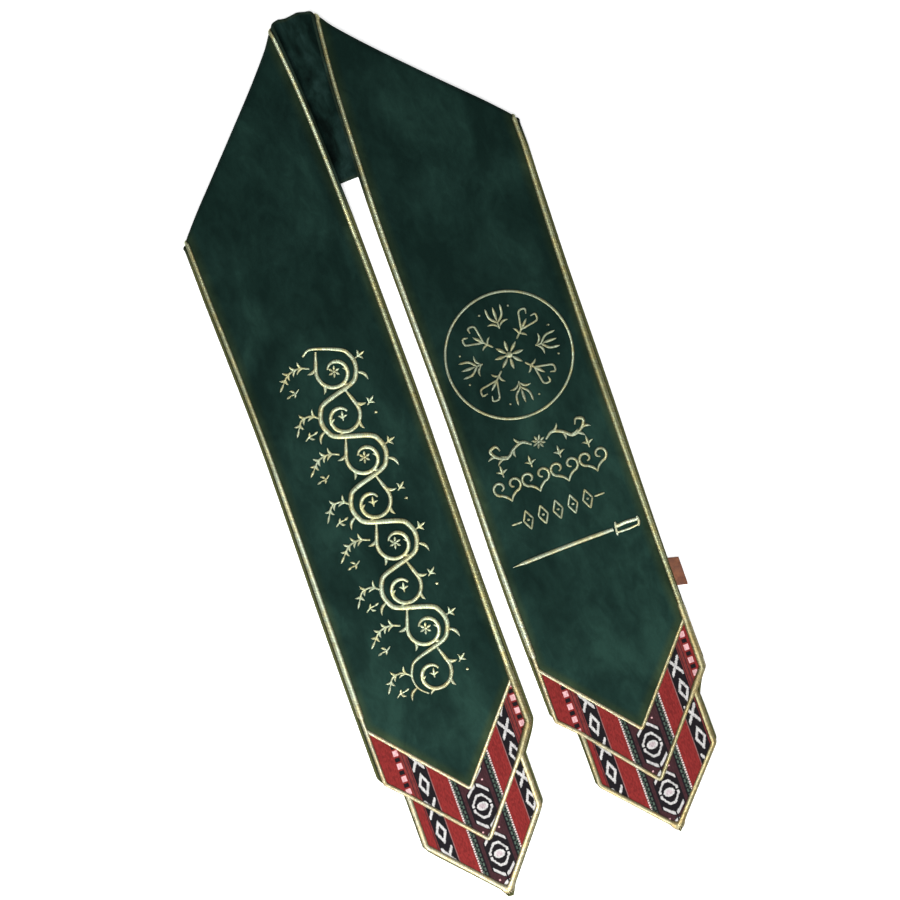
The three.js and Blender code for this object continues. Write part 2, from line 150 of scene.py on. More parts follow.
class Panel:
    """One of the two panels. Across runs from -75 at its outer edge to 75 at its inner edge."""

    def __init__(self, sign, course, crease, swells, edging, lines):
        self.sign = sign
        self.course = course
        self.crease = crease
        self.swells = swells
        self.edging = edging
        self.lines = lines

    def crease_y(self, across):
        return follow(self.crease, "across", "y", across)

    def height(self, across, y):
        """The back face's height: on the neck at the top, on the ground further down, with swells."""
        on_neck = CLOTH_TOP + 2 * turn_radius(across)
        lifted = on_neck * rise(STEP_DOWN["foot"], STEP_DOWN["top"], y)
        for middle_across, middle_y, wide, long, high in zip(*self.swells.values()):
            lifted = lifted + high * hump(np.hypot((across - middle_across) / wide, (y - middle_y) / long))
        waves = np.sin(across / 15 + y / 37) * np.sin(y / 26 - across / 31)
        ripple = RIPPLE["height"] * (1 + waves)
        return lifted + ripple * (1 - rise(RIPPLE["full"], RIPPLE["none"], y))

    def course_at(self, y):
        return [follow(self.course, "y", column, y) for column in ("centre", "width")]

    def x_at(self, across, y):
        centre, width = self.course_at(y)
        return self.sign * (centre - across * width / (2 * HALF_WIDTH))

    def point(self, across, y):
        x = self.x_at(across, y)
        return np.stack([x, y + 0 * x, self.height(across, y)], -1)

    def seats(self, across, y):
        """Points of the back face, and the direction that the front faces there."""
        step = 0.4
        sideways = self.point(across + step, y) - self.point(across - step, y)
        onwards = self.point(across, y - self.sign * step) - self.point(across, y + self.sign * step)
        return self.point(across, y), unit(np.cross(sideways, onwards))

    def across_at(self, x, y):
        centre, width = self.course_at(y)
        return (centre - self.sign * x) * 2 * HALF_WIDTH / width

    def line(self, name):
        """A line of the arrow end as a function from across to y, with slightly rounded corners."""
        table = self.lines[name]
        rounding = 1.2

        def y_of(across):
            y = np.full_like(np.asarray(across, float), ARROW_MIDDLE)
            for _ in range(4):
                x = self.x_at(across, y)
                beside = straight(table, x - rounding) + straight(table, x + rounding)
                y = straight(table, x) / 2 + beside / 4
            return y

        return y_of

    def shoulder_edge(self, across):
        """The first arrow's cut edge, from its corners to the notches above the second arrow."""
        return self.line("shoulder edge")(across) + round_corner(across, 68.5, 6.5, 3.2)

    def tip_edge(self, across):
        """The second arrow's cut edge. Its tip is blunt, because the edging is folded over there."""
        edge = self.lines["tip edge"]
        x = self.x_at(across, BLUNT_TIP["y"]) - edge["x"][1]
        beside = np.maximum(np.abs(x) - BLUNT_TIP["reach"], 0)
        blunt = min(edge["y"]) - BLUNT_TIP["longer"] + 0.04 * x ** 2 + 3.0 * beside ** 2
        return np.minimum(self.line("tip edge")(across), blunt) + round_corner(across, 52.4, 6, 2.6)

    def gold_at(self, side, y):
        """How far the gold edging's middle lies inside a long edge, its width there and the painted light
        and shade along it.
        """
        table = self.edging["inner" if side > 0 else "outer"]
        return [float(follow(table, "y", column, y)) for column in ("inset", "width", "shine")]


# The last column of each edging table is painted light and shade along the gold edging: lower where the
# edge lies in shade.
LEFT = Panel(
    sign=-1,
    course={
        "y": (-400, -285, -245, -100, 55, 150, 200, 245, 350, 415),
        "centre": (83.45, 83.45, 84.1, 84.8, 83.1, 84.7, 85.8, 86.6, 91.0, 96.6),
        "width": (148.7, 148.7, 150.3, 149.2, 149.8, 151.1, 152.1, 151.6, 151.0, 151.0),
    },
    crease={"across": (-75, 0, 60, 75), "y": (248, 325.6, 388.2, 408)},
    swells={
        "across": (-28, 34, -20),
        "y": (120, 20, -110),
        "wide": (34, 30, 38),
        "long": (70, 80, 60),
        "height": (1.3, 1.0, 0.9),
    },
    edging={
        "outer": {
            "y": (-240, -190, -130, -45, 5, 90, 140, 225, 400),
            "inset": (5.0, 5.6, 6.1, 6.1, 5.6, 5.15, 5.3, 4.6, 4.6),
            "width": (7.0, 6.1, 5.9, 5.3, 4.8, 4.5, 4.5, 4.2, 4.2),
            "shine": (1.05, 1.0, 0.9, 1.0, 1.0, 0.62, 0.62, 0.5, 0.45),
        },
        "inner": {
            "y": (-240, -180, -90, -40, 50, 95, 140, 185, 230, 310, 400),
            "inset": (5.5, 5.9, 4.5, 4.6, 5.4, 5.3, 4.8, 4.7, 4.9, 4.2, 4.7),
            "width": (6.6, 5.6, 6.4, 6.2, 5.8, 5.2, 5.1, 5.1, 4.6, 4.3, 4.1),
            "shine": (0.5, 0.8, 0.42, 0.47, 0.5, 0.66, 0.56, 0.65, 0.68, 0.9, 0.9),
        },
    },
    lines={
        "velvet": {"x": (-153.5, -83.2, -14), "y": (-208.7, -287.9, -205.4)},
        "first": {"x": (-153.4, -136, -82.3, -31.3, -14.4), "y": (-259.0, -277, -336.5, -273.6, -248.9)},
        "second": {"x": (-137.5, -81.2, -30.2), "y": (-323.9, -385.2, -321.9)},
        "shoulder edge": {"x": (-159.5, -141.2, -26.5, -8.6), "y": (-254.7, -273.7, -275.9, -250.5)},
        "tip edge": {"x": (-141.2, -80.7, -25.7), "y": (-325.6, -390.3, -322.2)},
    },
)
RIGHT = Panel(
    sign=1,
    course={
        "y": (-400, -285, -245, -130, 20, 125, 200, 235, 258, 350, 415),
        "centre": (81.0, 81.0, 78.6, 77.4, 80.0, 80.2, 80.8, 81.4, 81.6, 84.8, 90.6),
        "width": (148.7, 148.7, 147.4, 148.9, 148.9, 150.6, 152.9, 153.2, 152.3, 151.5, 152.0),
    },
    crease={"across": (-75, 0, 60, 75), "y": (257, 329.4, 388.6, 407.4)},
    swells={
        "across": (30, -36, 20),
        "y": (140, 10, -120),
        "wide": (34, 28, 36),
        "long": (60, 90, 56),
        "height": (1.2, 1.1, 0.8),
    },
    edging={
        "outer": {
            "y": (-240, -180, -130, -88, -42, 5, 48, 92, 182, 228, 400),
            "inset": (3.7, 3.4, 4.0, 4.6, 5.3, 5.9, 6.0, 5.4, 4.8, 4.3, 4.1),
            "width": (5.6, 5.0, 5.3, 5.5, 5.8, 6.6, 6.4, 5.4, 5.4, 4.8, 4.4),
            "shine": (0.56, 0.52, 0.52, 0.53, 0.53, 0.44, 0.43, 0.52, 0.53, 0.46, 0.45),
        },
        "inner": {
            "y": (-240, -130, -88, -20, 50, 138, 230, 318, 400),
            "inset": (5.2, 5.1, 4.6, 4.4, 4.4, 4.1, 4.3, 4.4, 4.9),
            "width": (6.8, 5.8, 5.2, 4.7, 4.8, 4.8, 4.6, 4.3, 4.1),
            "shine": (1.05, 1.05, 1.05, 0.68, 1.05, 0.95, 0.75, 0.58, 0.47),
        },
    },
    lines={
        "velvet": {"x": (8.5, 79, 148.5), "y": (-208.2, -289.3, -207.5)},
        "first": {"x": (9, 25.5, 79.2, 134, 148.2), "y": (-257.2, -273.8, -337.8, -272.05, -254.8)},
        "second": {"x": (27, 80.6, 135.2), "y": (-324.6, -382.7, -322.1)},
        "shoulder edge": {"x": (4.5, 22.9, 136.9, 153), "y": (-251.9, -274.8, -279.9, -248.5)},
        "tip edge": {"x": (23.2, 81, 138.9), "y": (-323.7, -386.9, -321.4)},
    },
)
PANELS = {"left": LEFT, "right": RIGHT}


def turn_point(panel, across, angle):
    """The turned cloth of a crease: angle 0 is where the panel ends, and pi is where the neck begins."""
    across = np.asarray(across, float)
    radius = turn_radius(across)
    start = panel.point(across, panel.crease_y(across))
    ahead = panel.point(across + 1, panel.crease_y(across + 1))
    behind = panel.point(across - 1, panel.crease_y(across - 1))
    along = unit((ahead - behind)[..., :2])
    outward = np.stack([panel.sign * along[..., 1], -panel.sign * along[..., 0]], -1)
    slid = radius * angle * along[..., 1] / outward[..., 1]
    reach = radius * np.sin(angle)
    flat = start[..., :2] + outward * reach[..., None] + along * slid[..., None]
    height = CLOTH_TOP + radius + radius * np.cos(angle)
    return np.concatenate([flat, height[..., None]], -1)


def neck_point(across, x):
    """The neck's back face, which looks up. It joins the two creases."""
    across = np.asarray(across, float)
    x = np.asarray(x, float)
    share_up = (across + HALF_WIDTH) / (2 * HALF_WIDTH)

    def plain(at):
        lower = follow(NECK_LOWER, "x", "y", at)
        upper = follow(NECK_UPPER, "x", "y", at)
        return lower + (upper - lower) * share_up

    left = turn_point(LEFT, across, math.pi)
    right = turn_point(RIGHT, across, math.pi)
    reach = np.minimum(NECK_CREASE_REACH, (right[..., 0] - left[..., 0]) / 2)
    left_share = 1 - rise(0, reach, x - left[..., 0])
    right_share = 1 - rise(0, reach, right[..., 0] - x)
    y = plain(x) + (left[..., 1] - plain(left[..., 0])) * left_share
    y = y + (right[..., 1] - plain(right[..., 0])) * right_share
    pleats = 0
    for middle, width, height in zip(*NECK_PLEATS.values()):
        pleats = pleats + height * hump(np.abs(x - middle) / width)
    clear = rise(0, PLEAT_FADE["from_crease"], np.minimum(x - left[..., 0], right[..., 0] - x))
    wrinkle = WRINKLE["height"] * (1 + np.sin(x / 1.9 + y / 40)) * rise(WRINKLE["none"], WRINKLE["full"], y)
    lift = (pleats * rise(PLEAT_FADE["none"], PLEAT_FADE["full"], y) + wrinkle) * clear
    return np.stack([x, y, CLOTH_TOP + lift], -1)


class Row:
    """One line over the strip. place(across, nudge) gives its points, nudged on along the strip."""

    def __init__(self, place, panel=None, y_of=None):
        self.place = place
        self.panel = panel
        self.y_of = y_of

    def seats(self, across):
        step = 0.4
        sideways = self.place(across + step, 0) - self.place(across - step, 0)
        onwards = self.place(across, step) - self.place(across, -step)
        return self.place(across, 0), unit(np.cross(sideways, onwards))


def panel_row(panel, y_of):
    return Row(lambda across, nudge: panel.point(across, y_of(across) - panel.sign * nudge), panel, y_of)


def level_row(panel, y):
    return panel_row(panel, lambda across: y + 0 * np.asarray(across, float))


def turn_row(panel, angle):
    def place(across, nudge):
        return turn_point(panel, across, angle - panel.sign * nudge / turn_radius(across))

    return Row(place)


def neck_row(x_of):
    return Row(lambda across, nudge: neck_point(across, x_of(across) + nudge))


def rows_between(panel, from_y, to_y, shares):
    def at(share):
        return lambda across: from_y(across) + (to_y(across) - from_y(across)) * share

    return [panel_row(panel, at(share)) for share in shares]


def inside_shares(count):
    return [(i + 1) / (count + 1) for i in range(count)]


def neck_rows():
    """Rows over the neck, upright between the panels, and slanting over to the creases."""
    middle = {"left": -22, "right": 17}
    clearance = 2.5

    def exit_x(panel):
        return lambda across: turn_point(panel, across, math.pi)[..., 0]

    def left_end(across):
        return np.maximum(middle["left"], exit_x(LEFT)(across) + clearance)

    def right_end(across):
        return np.minimum(middle["right"], exit_x(RIGHT)(across) - clearance)

    blocks = (
        (exit_x(LEFT), left_end, inside_shares(24)),
        (left_end, right_end, [0, *inside_shares(25), 1]),
        (right_end, exit_x(RIGHT), inside_shares(24)),
    )
    rows = []
    for start, end, shares in blocks:
        for share in shares:
            rows.append(neck_row(lambda a, s=start, e=end, k=share: s(a) + (e(a) - s(a)) * k))
    return rows


def panel_rows(panel):
    """A panel's rows from the crease down to the top of its end."""
    top, foot = STEP_DOWN["top"], STEP_DOWN["foot"]
    slanting = rows_between(panel, panel.crease_y, lambda a: top + 0 * a, inside_shares(36))
    stepping = np.linspace(top, foot, 15)
    lying = np.linspace(foot, END_ZONE_TOP, 125)[1:]
    return slanting + [level_row(panel, y) for y in (*stepping, *lying)]


def turn_rows(panel):
    steps = 10
    return [turn_row(panel, math.pi * i / steps) for i in range(steps + 1)]


LEFT_ROWS = panel_rows(LEFT)
RIGHT_ROWS = panel_rows(RIGHT)
STRIP_ROWS = LEFT_ROWS[::-1] + turn_rows(LEFT) + neck_rows() + turn_rows(RIGHT)[::-1] + RIGHT_ROWS


def in_order(panel, rows):
    """The rows of an end in the order that runs from the left end to the right end."""
    return rows[::-1] if panel is LEFT else rows


def zone_top(across):
    return END_ZONE_TOP + 0 * across


def rows_down(panel, top, line, steps, count):
    """Rows from one line down to another. The last of them crowd towards it by these steps."""
    depths = [step / LINE_COS for step in steps]
    rows = rows_between(panel, top, lambda a: line(a) + depths[0], [*inside_shares(count), 1])
    return rows + [panel_row(panel, lambda a, d=depth: line(a) + d) for depth in depths[1:]]


def new_object(name, data):
    made = bpy.data.objects.new(name, data)
    bpy.context.scene.collection.objects.link(made)
    return made


def new_mesh(name, vertices, faces, edges=()):
    mesh = bpy.data.meshes.new(name)
    mesh.from_pydata([tuple(v) for v in vertices], list(edges), faces)
    mesh.update()
    return mesh


def smooth(mesh):
    mesh.polygons.foreach_set("use_smooth", [True] * len(mesh.polygons))
    mesh.update()


def solid(name, vertices, faces, edges=()):
    """A smooth shape whose faces look outward, from vertices in the drawing's millimetres."""
    mesh = new_mesh(name, metres(vertices), faces, edges)
    shape = bmesh.new()
    shape.from_mesh(mesh)
    bmesh.ops.recalc_face_normals(shape, faces=shape.faces)
    shape.to_mesh(mesh)
    shape.free()
    smooth(mesh)
    return new_object(name, mesh)


def closed_sheet(name, blocks, inset_of, top_of, bottom_of, rim_of):
    """A closed wall between two heights, over blocks of rows and lanes. Heights follow the distance from
    the cut edge, which inset_of gives for a row, and rim_of says how strongly the colour near the edge
    shows: the olive of the rim on the backing, and a painted warm reflection of the gold on the velvet."""
    lanes_of = {}
    for rows, lanes in blocks:
        for row in rows:
            lanes_of.setdefault(row, set()).update(lanes)
    index, tops, bottoms, rims = {}, [], [], []
    for row, lanes in lanes_of.items():
        across = np.array(sorted(lanes))
        for lane in sorted(lanes):
            index[row, lane] = len(index)
        points, fronts = row.seats(across)
        inset = inset_of(row, across)
        tops.append(points + fronts * top_of(inset, points)[:, None])
        bottoms.append(points + fronts * bottom_of(inset)[:, None])
        rims.append(rim_of(inset, points))
    count = len(index)
    quads = []
    for rows, lanes in blocks:
        grid = [[index[row, lane] for lane in lanes] for row in rows]
        for first, second in zip(grid, grid[1:]):
            quads.extend(zip(first, first[1:], second[1:], second))
    directed = {(a, b) for quad in quads for a, b in zip(quad, quad[1:] + quad[:1])}
    border = [(a, b) for a, b in directed if (b, a) not in directed]
    faces = [tuple(i + count for i in quad) for quad in quads]
    faces += [quad[::-1] for quad in quads]
    faces += [(a, b, b + count, a + count) for a, b in sorted(border)]
    made = solid(name, np.concatenate(bottoms + tops), faces)
    rim = made.data.attributes.new("rim", "FLOAT", "POINT")
    rim.data.foreach_set("value", np.tile(np.concatenate(rims), 2))
    return made


def lanes_with_edges(half, steps, spacing):
    """Lanes over a width, crowded near both edges."""
    inner = half - steps[-1]
    count = math.ceil(2 * inner / spacing)
    middle = [inner * (2 * i / count - 1) for i in range(1, count)]
    edge = [half - step for step in steps]
    return sorted([-lane for lane in edge] + middle + edge)


def backing_inset(row, across):
    """The distance from the strip's cut edge, which is the wider of the two arrows at an end."""
    side = HALF_WIDTH - np.abs(across)
    if row.y_of is None:
        return side
    y = row.y_of(across)
    first = np.minimum(side, (y - row.panel.shoulder_edge(across)) * LINE_COS)
    second_side = SECOND_HALF_WIDTH - np.abs(across)
    second = np.minimum(second_side, (y - row.panel.tip_edge(across)) * LINE_COS)
    return np.maximum(first, second)


def rim_top(inset, points):
    """The rolled rim, which falls to the flat cloth under the gold edging. It is slightly uneven, and it
    is half as wide round the arrows."""
    low = RIM["low"]
    x, y = points[:, 0], points[:, 1]
    inset = inset / (0.5 + 0.5 * rise(RIM_WIDTH["half"], RIM_WIDTH["full"], y))
    roll = np.sqrt(np.clip(1 - (1 - np.clip(inset / RIM["roll"], 0, 1)) ** 2, 0, 1))
    uneven = 1 + RIM["uneven"] * np.sin(x / 2.7 + y / 2.1)
    crest = low + (RIM["height"] * uneven - low) * roll
    return crest + (BACKING_TOP - crest) * rise(*RIM["falls"], inset)


def rim_bottom(inset):
    return RIM_UNDERCUT["height"] * np.clip(1 - inset / RIM_UNDERCUT["reach"], 0, 1) ** 2


# The insets between which the olive of the rim and the painted warm reflection of the gold on the velvet
# beside it fade out. The neck starts between two places of the panels, and the olive is fainter there.
OLIVE_RIM = {"fades": (1.9, 3.5), "neck": (228, 258), "fainter": 0.88}
PAINTED_GOLD_REFLECTION = (2.6, 10.5)


def olive_rim(inset, points):
    """The olive colour at the cut edge, which is faint on the neck."""
    on_neck = rise(*OLIVE_RIM["neck"], points[:, 1])
    return (1 - OLIVE_RIM["fainter"] * on_neck) * (1 - rise(*OLIVE_RIM["fades"], inset))


def painted_gold_reflection(inset, points):
    """The painted warm reflection of the gold thread on the velvet beside it."""
    return 1 - rise(*PAINTED_GOLD_REFLECTION, inset)


def no_rim(inset, points):
    return 0 * inset


def mirrored(lanes):
    return sorted({-lane for lane in lanes} | set(lanes))


def backing():
    second = mirrored([*range(-50, 51, 5), *(SECOND_HALF_WIDTH - step for step in RIM_STEPS)])
    lanes = mirrored([*second, 61.5, 65, 68.5, *(HALF_WIDTH - step for step in RIM_STEPS)])
    steps = RIM_STEPS[:0:-1]
    blocks = [(STRIP_ROWS, lanes)]
    for panel, top in ((LEFT, STRIP_ROWS[0]), (RIGHT, STRIP_ROWS[-1])):
        first_edge = panel_row(panel, panel.shoulder_edge)
        upper = [top, *rows_down(panel, zone_top, panel.shoulder_edge, steps, 24), first_edge]
        lower = [first_edge, *rows_down(panel, panel.shoulder_edge, panel.tip_edge, steps, 14)]
        lower.append(panel_row(panel, panel.tip_edge))
        blocks += [(in_order(panel, upper), lanes), (in_order(panel, lower), second)]
    return closed_sheet("backing_cloth", blocks, backing_inset, rim_top, rim_bottom, olive_rim)


# The velvet and the woven bands: how their rows and lanes crowd towards their edges, and the puckers there.
EDGE_STEPS = (0, 0.3, 0.8, 1.5, 2.5, 3.8)
PUCKER = {"height": 0.14, "reach": 4}
VELVET_HALF_WIDTH = 70.3
BAND_BOTTOM = 1.25


def pulled_down(edge, top, reach):
    """A top height that falls to the edge, where the gold stitching pulls the cloth down, with puckers."""
    def height(inset, points):
        along = points[:, 0] + points[:, 1]
        gathered = PUCKER["height"] * np.sin(along / 1.5) * np.sin(along / 5.3)
        pucker = gathered * np.exp(-inset / PUCKER["reach"])
        return edge + (top - edge) * (1 - np.exp(-inset / reach)) + pucker
    return height


def velvet_front():
    lanes = lanes_with_edges(VELVET_HALF_WIDTH, EDGE_STEPS, 3.4)

    def inset_of(row, across):
        side = VELVET_HALF_WIDTH - np.abs(across)
        if row.y_of is None:
            return side
        line = row.panel.line("velvet")(across)
        return np.maximum(np.minimum(side, (row.y_of(across) - line) * LINE_COS), 0)

    def end(panel):
        return in_order(panel, rows_down(panel, zone_top, panel.line("velvet"), EDGE_STEPS[::-1], 26))

    rows = end(LEFT) + STRIP_ROWS + end(RIGHT)
    top = pulled_down(VELVET["edge"], VELVET["top"], 1.4)
    return closed_sheet("green_velvet_front", [(rows, lanes)], inset_of, top,
                        lambda inset: VELVET["bottom"] + 0 * inset, painted_gold_reflection)


def woven_band(name, panel, half, top_line, bottom_line, top_height):
    """Woven cloth between the middles of two gold arrow lines."""
    upper = panel.line(top_line)
    lower = panel.line(bottom_line)

    def inset_of(row, across):
        y = row.y_of(across)
        lines = np.minimum(upper(across) - y, y - lower(across)) * LINE_COS
        return np.maximum(np.minimum(half - np.abs(across), lines), 0)

    edge = [step / LINE_COS for step in EDGE_STEPS]
    first = [lambda a, d=step: upper(a) - d for step in edge]
    last = [lambda a, d=step: lower(a) + d for step in edge[::-1]]
    between = rows_between(panel, first[-1], last[0], inside_shares(11))
    rows = [panel_row(panel, y) for y in first] + between + [panel_row(panel, y) for y in last]
    blocks = [(in_order(panel, rows), lanes_with_edges(half, EDGE_STEPS, 3.0))]
    return closed_sheet(name, blocks, inset_of, pulled_down(VELVET["edge"], top_height, 0.9),
                        lambda inset: BAND_BOTTOM + 0 * inset, no_rim)


# Raised gold lines. A line is a run of places with the front's direction, a width, a share of painted light
# and shade, and a height above the back face that it stands on. The smooth body of a line is covered with
# satin stitches.
SATIN_WIDTH = 3.4
DOME_STEPS = 7

# How high the stitches arch, in metres for each millimetre that the body swells.
STITCH_ARCH = 0.00115

# Stitches under the neck, which lies face down, are pressed flat at this height in metres.
ABOVE_GROUND = 0.00004


class Line:
    def __init__(self, points, fronts, widths, shines, base, swell, closed=False):
        self.points = points
        self.fronts = fronts
        self.widths = widths
        self.shines = shines
        self.base = base
        self.swell = swell
        self.closed = closed

    def seat(self):
        return self.points + self.fronts * self.base

    def sides(self):
        if self.closed:
            along = np.roll(self.points, -1, 0) - np.roll(self.points, 1, 0)
        else:
            along = np.gradient(self.points, axis=0)
        return unit(np.cross(unit(along), self.fronts))

    def body(self, start):
        """The line's smooth body: its vertices, and its faces numbered from start."""
        turns = np.linspace(0, math.pi, DOME_STEPS)
        rises = self.swell * np.sqrt(self.widths / SATIN_WIDTH)
        outs = self.sides()[:, None, :] * (self.widths / 2)[:, None, None] * np.cos(turns)[None, :, None]
        ups = self.fronts[:, None, :] * rises[:, None, None] * np.sin(turns)[None, :, None]
        vertices = (self.seat()[:, None, :] + outs + ups).reshape(-1, 3)
        count = len(self.points)
        faces = []
        for i in range(count if self.closed else count - 1):
            near = start + i * DOME_STEPS
            far = start + (i + 1) % count * DOME_STEPS
            for k in range(DOME_STEPS):
                following = (k + 1) % DOME_STEPS
                faces.append((near + k, far + k, far + following, near + following))
        if not self.closed:
            faces.append(tuple(start + k for k in range(DOME_STEPS)))
            faces.append(tuple(start + (count - 1) * DOME_STEPS + k for k in reversed(range(DOME_STEPS))))
        return vertices, faces


def plug(tree, slot, value):
    """Feeds an input: a field or a socket is linked, and anything else is a plain value."""
    if isinstance(value, Field):
        value = value.socket
    if isinstance(value, bpy.types.NodeSocket):
        tree.links.new(value, slot)
    else:
        slot.default_value = value


def feed(tree, made, **values):
    for name, value in values.items():
        plug(tree, made.inputs[name.replace("_", " ")], value)


def node(tree, kind, settings=None, **values):
    """A node with its settings and inputs."""
    made = tree.nodes.new(kind)
    for name, value in (settings or {}).items():
        setattr(made, name, value)
    feed(tree, made, **values)
    return made


class Field:
    """A number that changes over a surface or a run, made with maths nodes from plain sums."""

    def __init__(self, tree, socket):
        self.tree = tree
        self.socket = socket

    def worked(self, operation, *others):
        made = node(self.tree, "ShaderNodeMath", {"operation": operation})
        for slot, value in zip(made.inputs, (self, *others)):
            plug(self.tree, slot, value)
        return Field(self.tree, made.outputs[0])

    def __add__(self, other):
        return self.worked("ADD", other)

    def __sub__(self, other):
        return self.worked("SUBTRACT", other)

    def __mul__(self, other):
        return self.worked("MULTIPLY", other)

    def __truediv__(self, other):
        return self.worked("DIVIDE", other)

    def size(self):
        return self.worked("ABSOLUTE")

    def above(self, low):
        return self.worked("GREATER_THAN", low)

    def below(self, high):
        return self.worked("LESS_THAN", high)

    def between(self, low, high):
        return self.above(low) * self.below(high)

    def near(self, middle, reach):
        return (self - middle).size().below(reach)

    def stepped(self, step):
        """The middle of the step that the number falls in."""
        return ((self / step).worked("FLOOR") + 0.5) * step

    def folded(self, pitch, middle):
        """The distance from the nearest middle of a repeat."""
        return ((self + (pitch / 2 - middle)).worked("FLOORED_MODULO", pitch) - pitch / 2).size()


def group_tree(name, kind, inputs, outputs):
    """A node group. Each socket is a name, a type and, for an input, its first value."""
    tree = bpy.data.node_groups.new(name, kind)
    for label, socket, value in inputs:
        made = tree.interface.new_socket(label, in_out="INPUT", socket_type=socket)
        if value is not None:
            made.default_value = value
    for label, socket in outputs:
        tree.interface.new_socket(label, in_out="OUTPUT", socket_type=socket)
    return tree, tree.nodes.new("NodeGroupInput").outputs, tree.nodes.new("NodeGroupOutput")


def satin_stitch_tree():
    """Lays a thread across every line of a mesh, at each step along it, and keeps the line's body."""
    inputs = (
        ("Geometry", "NodeSocketGeometry", None),
        ("Pitch", "NodeSocketFloat", 0.0007),
        ("Thread", "NodeSocketFloat", 0.0008),
        ("Swell", "NodeSocketFloat", 0.0015),
        ("Slant", "NodeSocketFloat", 0.2),
        ("Unevenness", "NodeSocketFloat", 0.1),
        ("Seed", "NodeSocketInt", 7),
        ("Material", "NodeSocketMaterial", None),
    )
    outputs = [("Geometry", "NodeSocketGeometry")]
    tree, given, out = group_tree("satin_stitches", "GeometryNodeTree", inputs, outputs)
    pitch, thread, swell, slant, unevenness = (Field(tree, given[row[0]]) for row in inputs[1:6])

    def named(name, kind):
        read = node(tree, "GeometryNodeInputNamedAttribute", {"data_type": kind}, Name=name)
        return read.outputs["Attribute"]

    def stored(geometry, name, value, domain="POINT"):
        settings = {"data_type": "FLOAT", "domain": domain}
        kept = node(tree, "GeometryNodeStoreNamedAttribute", settings,
                    Geometry=geometry, Name=name, Value=value)
        return kept.outputs["Geometry"]

    # The places of the stitches along each line, turned so that a stitch lies across it.
    parted = node(tree, "GeometryNodeSeparateGeometry", {"domain": "POINT"},
                  Geometry=given["Geometry"], Selection=named("is_line", "BOOLEAN"))
    curve = node(tree, "GeometryNodeMeshToCurve", Mesh=parted.outputs["Selection"])
    stepped = node(tree, "GeometryNodeResampleCurve", {"mode": "LENGTH"},
                   Curve=curve.outputs["Curve"], Length=pitch)
    facing = node(tree, "FunctionNodeAxesToRotation", {"primary_axis": "Z", "secondary_axis": "X"},
                  Primary_Axis=named("front", "FLOAT_VECTOR"),
                  Secondary_Axis=node(tree, "GeometryNodeInputTangent").outputs["Tangent"])
    lean = node(tree, "FunctionNodeRandomValue", {"data_type": "FLOAT"}, Seed=given["Seed"])
    least_lean = lean.inputs[2]
    least_lean.default_value = -1.0
    angle = Field(tree, lean.outputs[1]).worked("MULTIPLY_ADD", unevenness, slant)
    about = node(tree, "FunctionNodeAxisAngleToRotation", Axis=(0, 0, 1), Angle=angle)
    turned = node(tree, "FunctionNodeRotateRotation", {"rotation_space": "LOCAL"},
                  Rotation=facing.outputs[0], Rotate_By=about.outputs[0])
    spread = Field(tree, named("width", "FLOAT")) / SATIN_WIDTH
    scale = node(tree, "ShaderNodeCombineXYZ", X=1.0, Y=spread, Z=spread.worked("SQRT"))

    # One arched stitch for a line of the usual width, which keeps how high and how far aside it is, for the
    # gold's painted shade and painted ridge highlight.
    half = SATIN_WIDTH * 0.0005
    arch = swell * (4 / 3)
    aside = half * 0.9
    first, second = (node(tree, "ShaderNodeCombineXYZ", X=0.0, Y=y, Z=arch) for y in (-aside, aside))
    arc = node(tree, "GeometryNodeCurvePrimitiveBezierSegment", Resolution=4, Start=(0, -half, 0),
               Start_Handle=first.outputs[0], End_Handle=second.outputs[0], End=(0, half, 0))
    section = node(tree, "GeometryNodeCurvePrimitiveCircle", Resolution=3, Radius=thread * 0.5)
    strand = node(tree, "GeometryNodeCurveToMesh", Curve=arc.outputs["Curve"],
                  Profile_Curve=section.outputs["Curve"], Fill_Caps=True)
    place = node(tree, "ShaderNodeSeparateXYZ", Vector=node(tree, "GeometryNodeInputPosition").outputs[0])
    crest = Field(tree, place.outputs["Z"]) / swell
    crest.socket.node.use_clamp = True
    crested = stored(strand.outputs["Mesh"], "crest", crest)
    sided = stored(crested, "aside", Field(tree, place.outputs["Y"]) / half)

    laid = node(tree, "GeometryNodeInstanceOnPoints", Points=stepped.outputs["Curve"],
                Instance=sided, Rotation=turned.outputs[0], Scale=scale.outputs[0])
    tone = node(tree, "FunctionNodeRandomValue", {"data_type": "FLOAT"}, Seed=3)
    toned = stored(laid.outputs["Instances"], "tone", tone.outputs[1], "INSTANCE")
    real = node(tree, "GeometryNodeRealizeInstances", Geometry=toned)
    joined = node(tree, "GeometryNodeJoinGeometry", Geometry=parted.outputs["Inverted"])
    feed(tree, joined, Geometry=real.outputs["Geometry"])
    dressed = node(tree, "GeometryNodeSetMaterial",
                   Geometry=joined.outputs["Geometry"], Material=given["Material"])
    feed(tree, out, Geometry=dressed.outputs["Geometry"])
    return tree


STITCHES = satin_stitch_tree()


def plain_copy(made):
    """Turns an object's modifiers into a plain mesh of its own."""
    bpy.context.view_layer.update()
    graph = bpy.context.evaluated_depsgraph_get()
    whole = made.evaluated_get(graph)
    mesh = bpy.data.meshes.new_from_object(whole, preserve_all_data_layers=True, depsgraph=graph)
    made.modifiers.clear()
    made.data = mesh
    places = np.empty(3 * len(mesh.vertices))
    mesh.vertices.foreach_get("co", places)
    places[2::3] = np.maximum(places[2::3], ABOVE_GROUND)
    mesh.vertices.foreach_set("co", places)
    smooth(mesh)


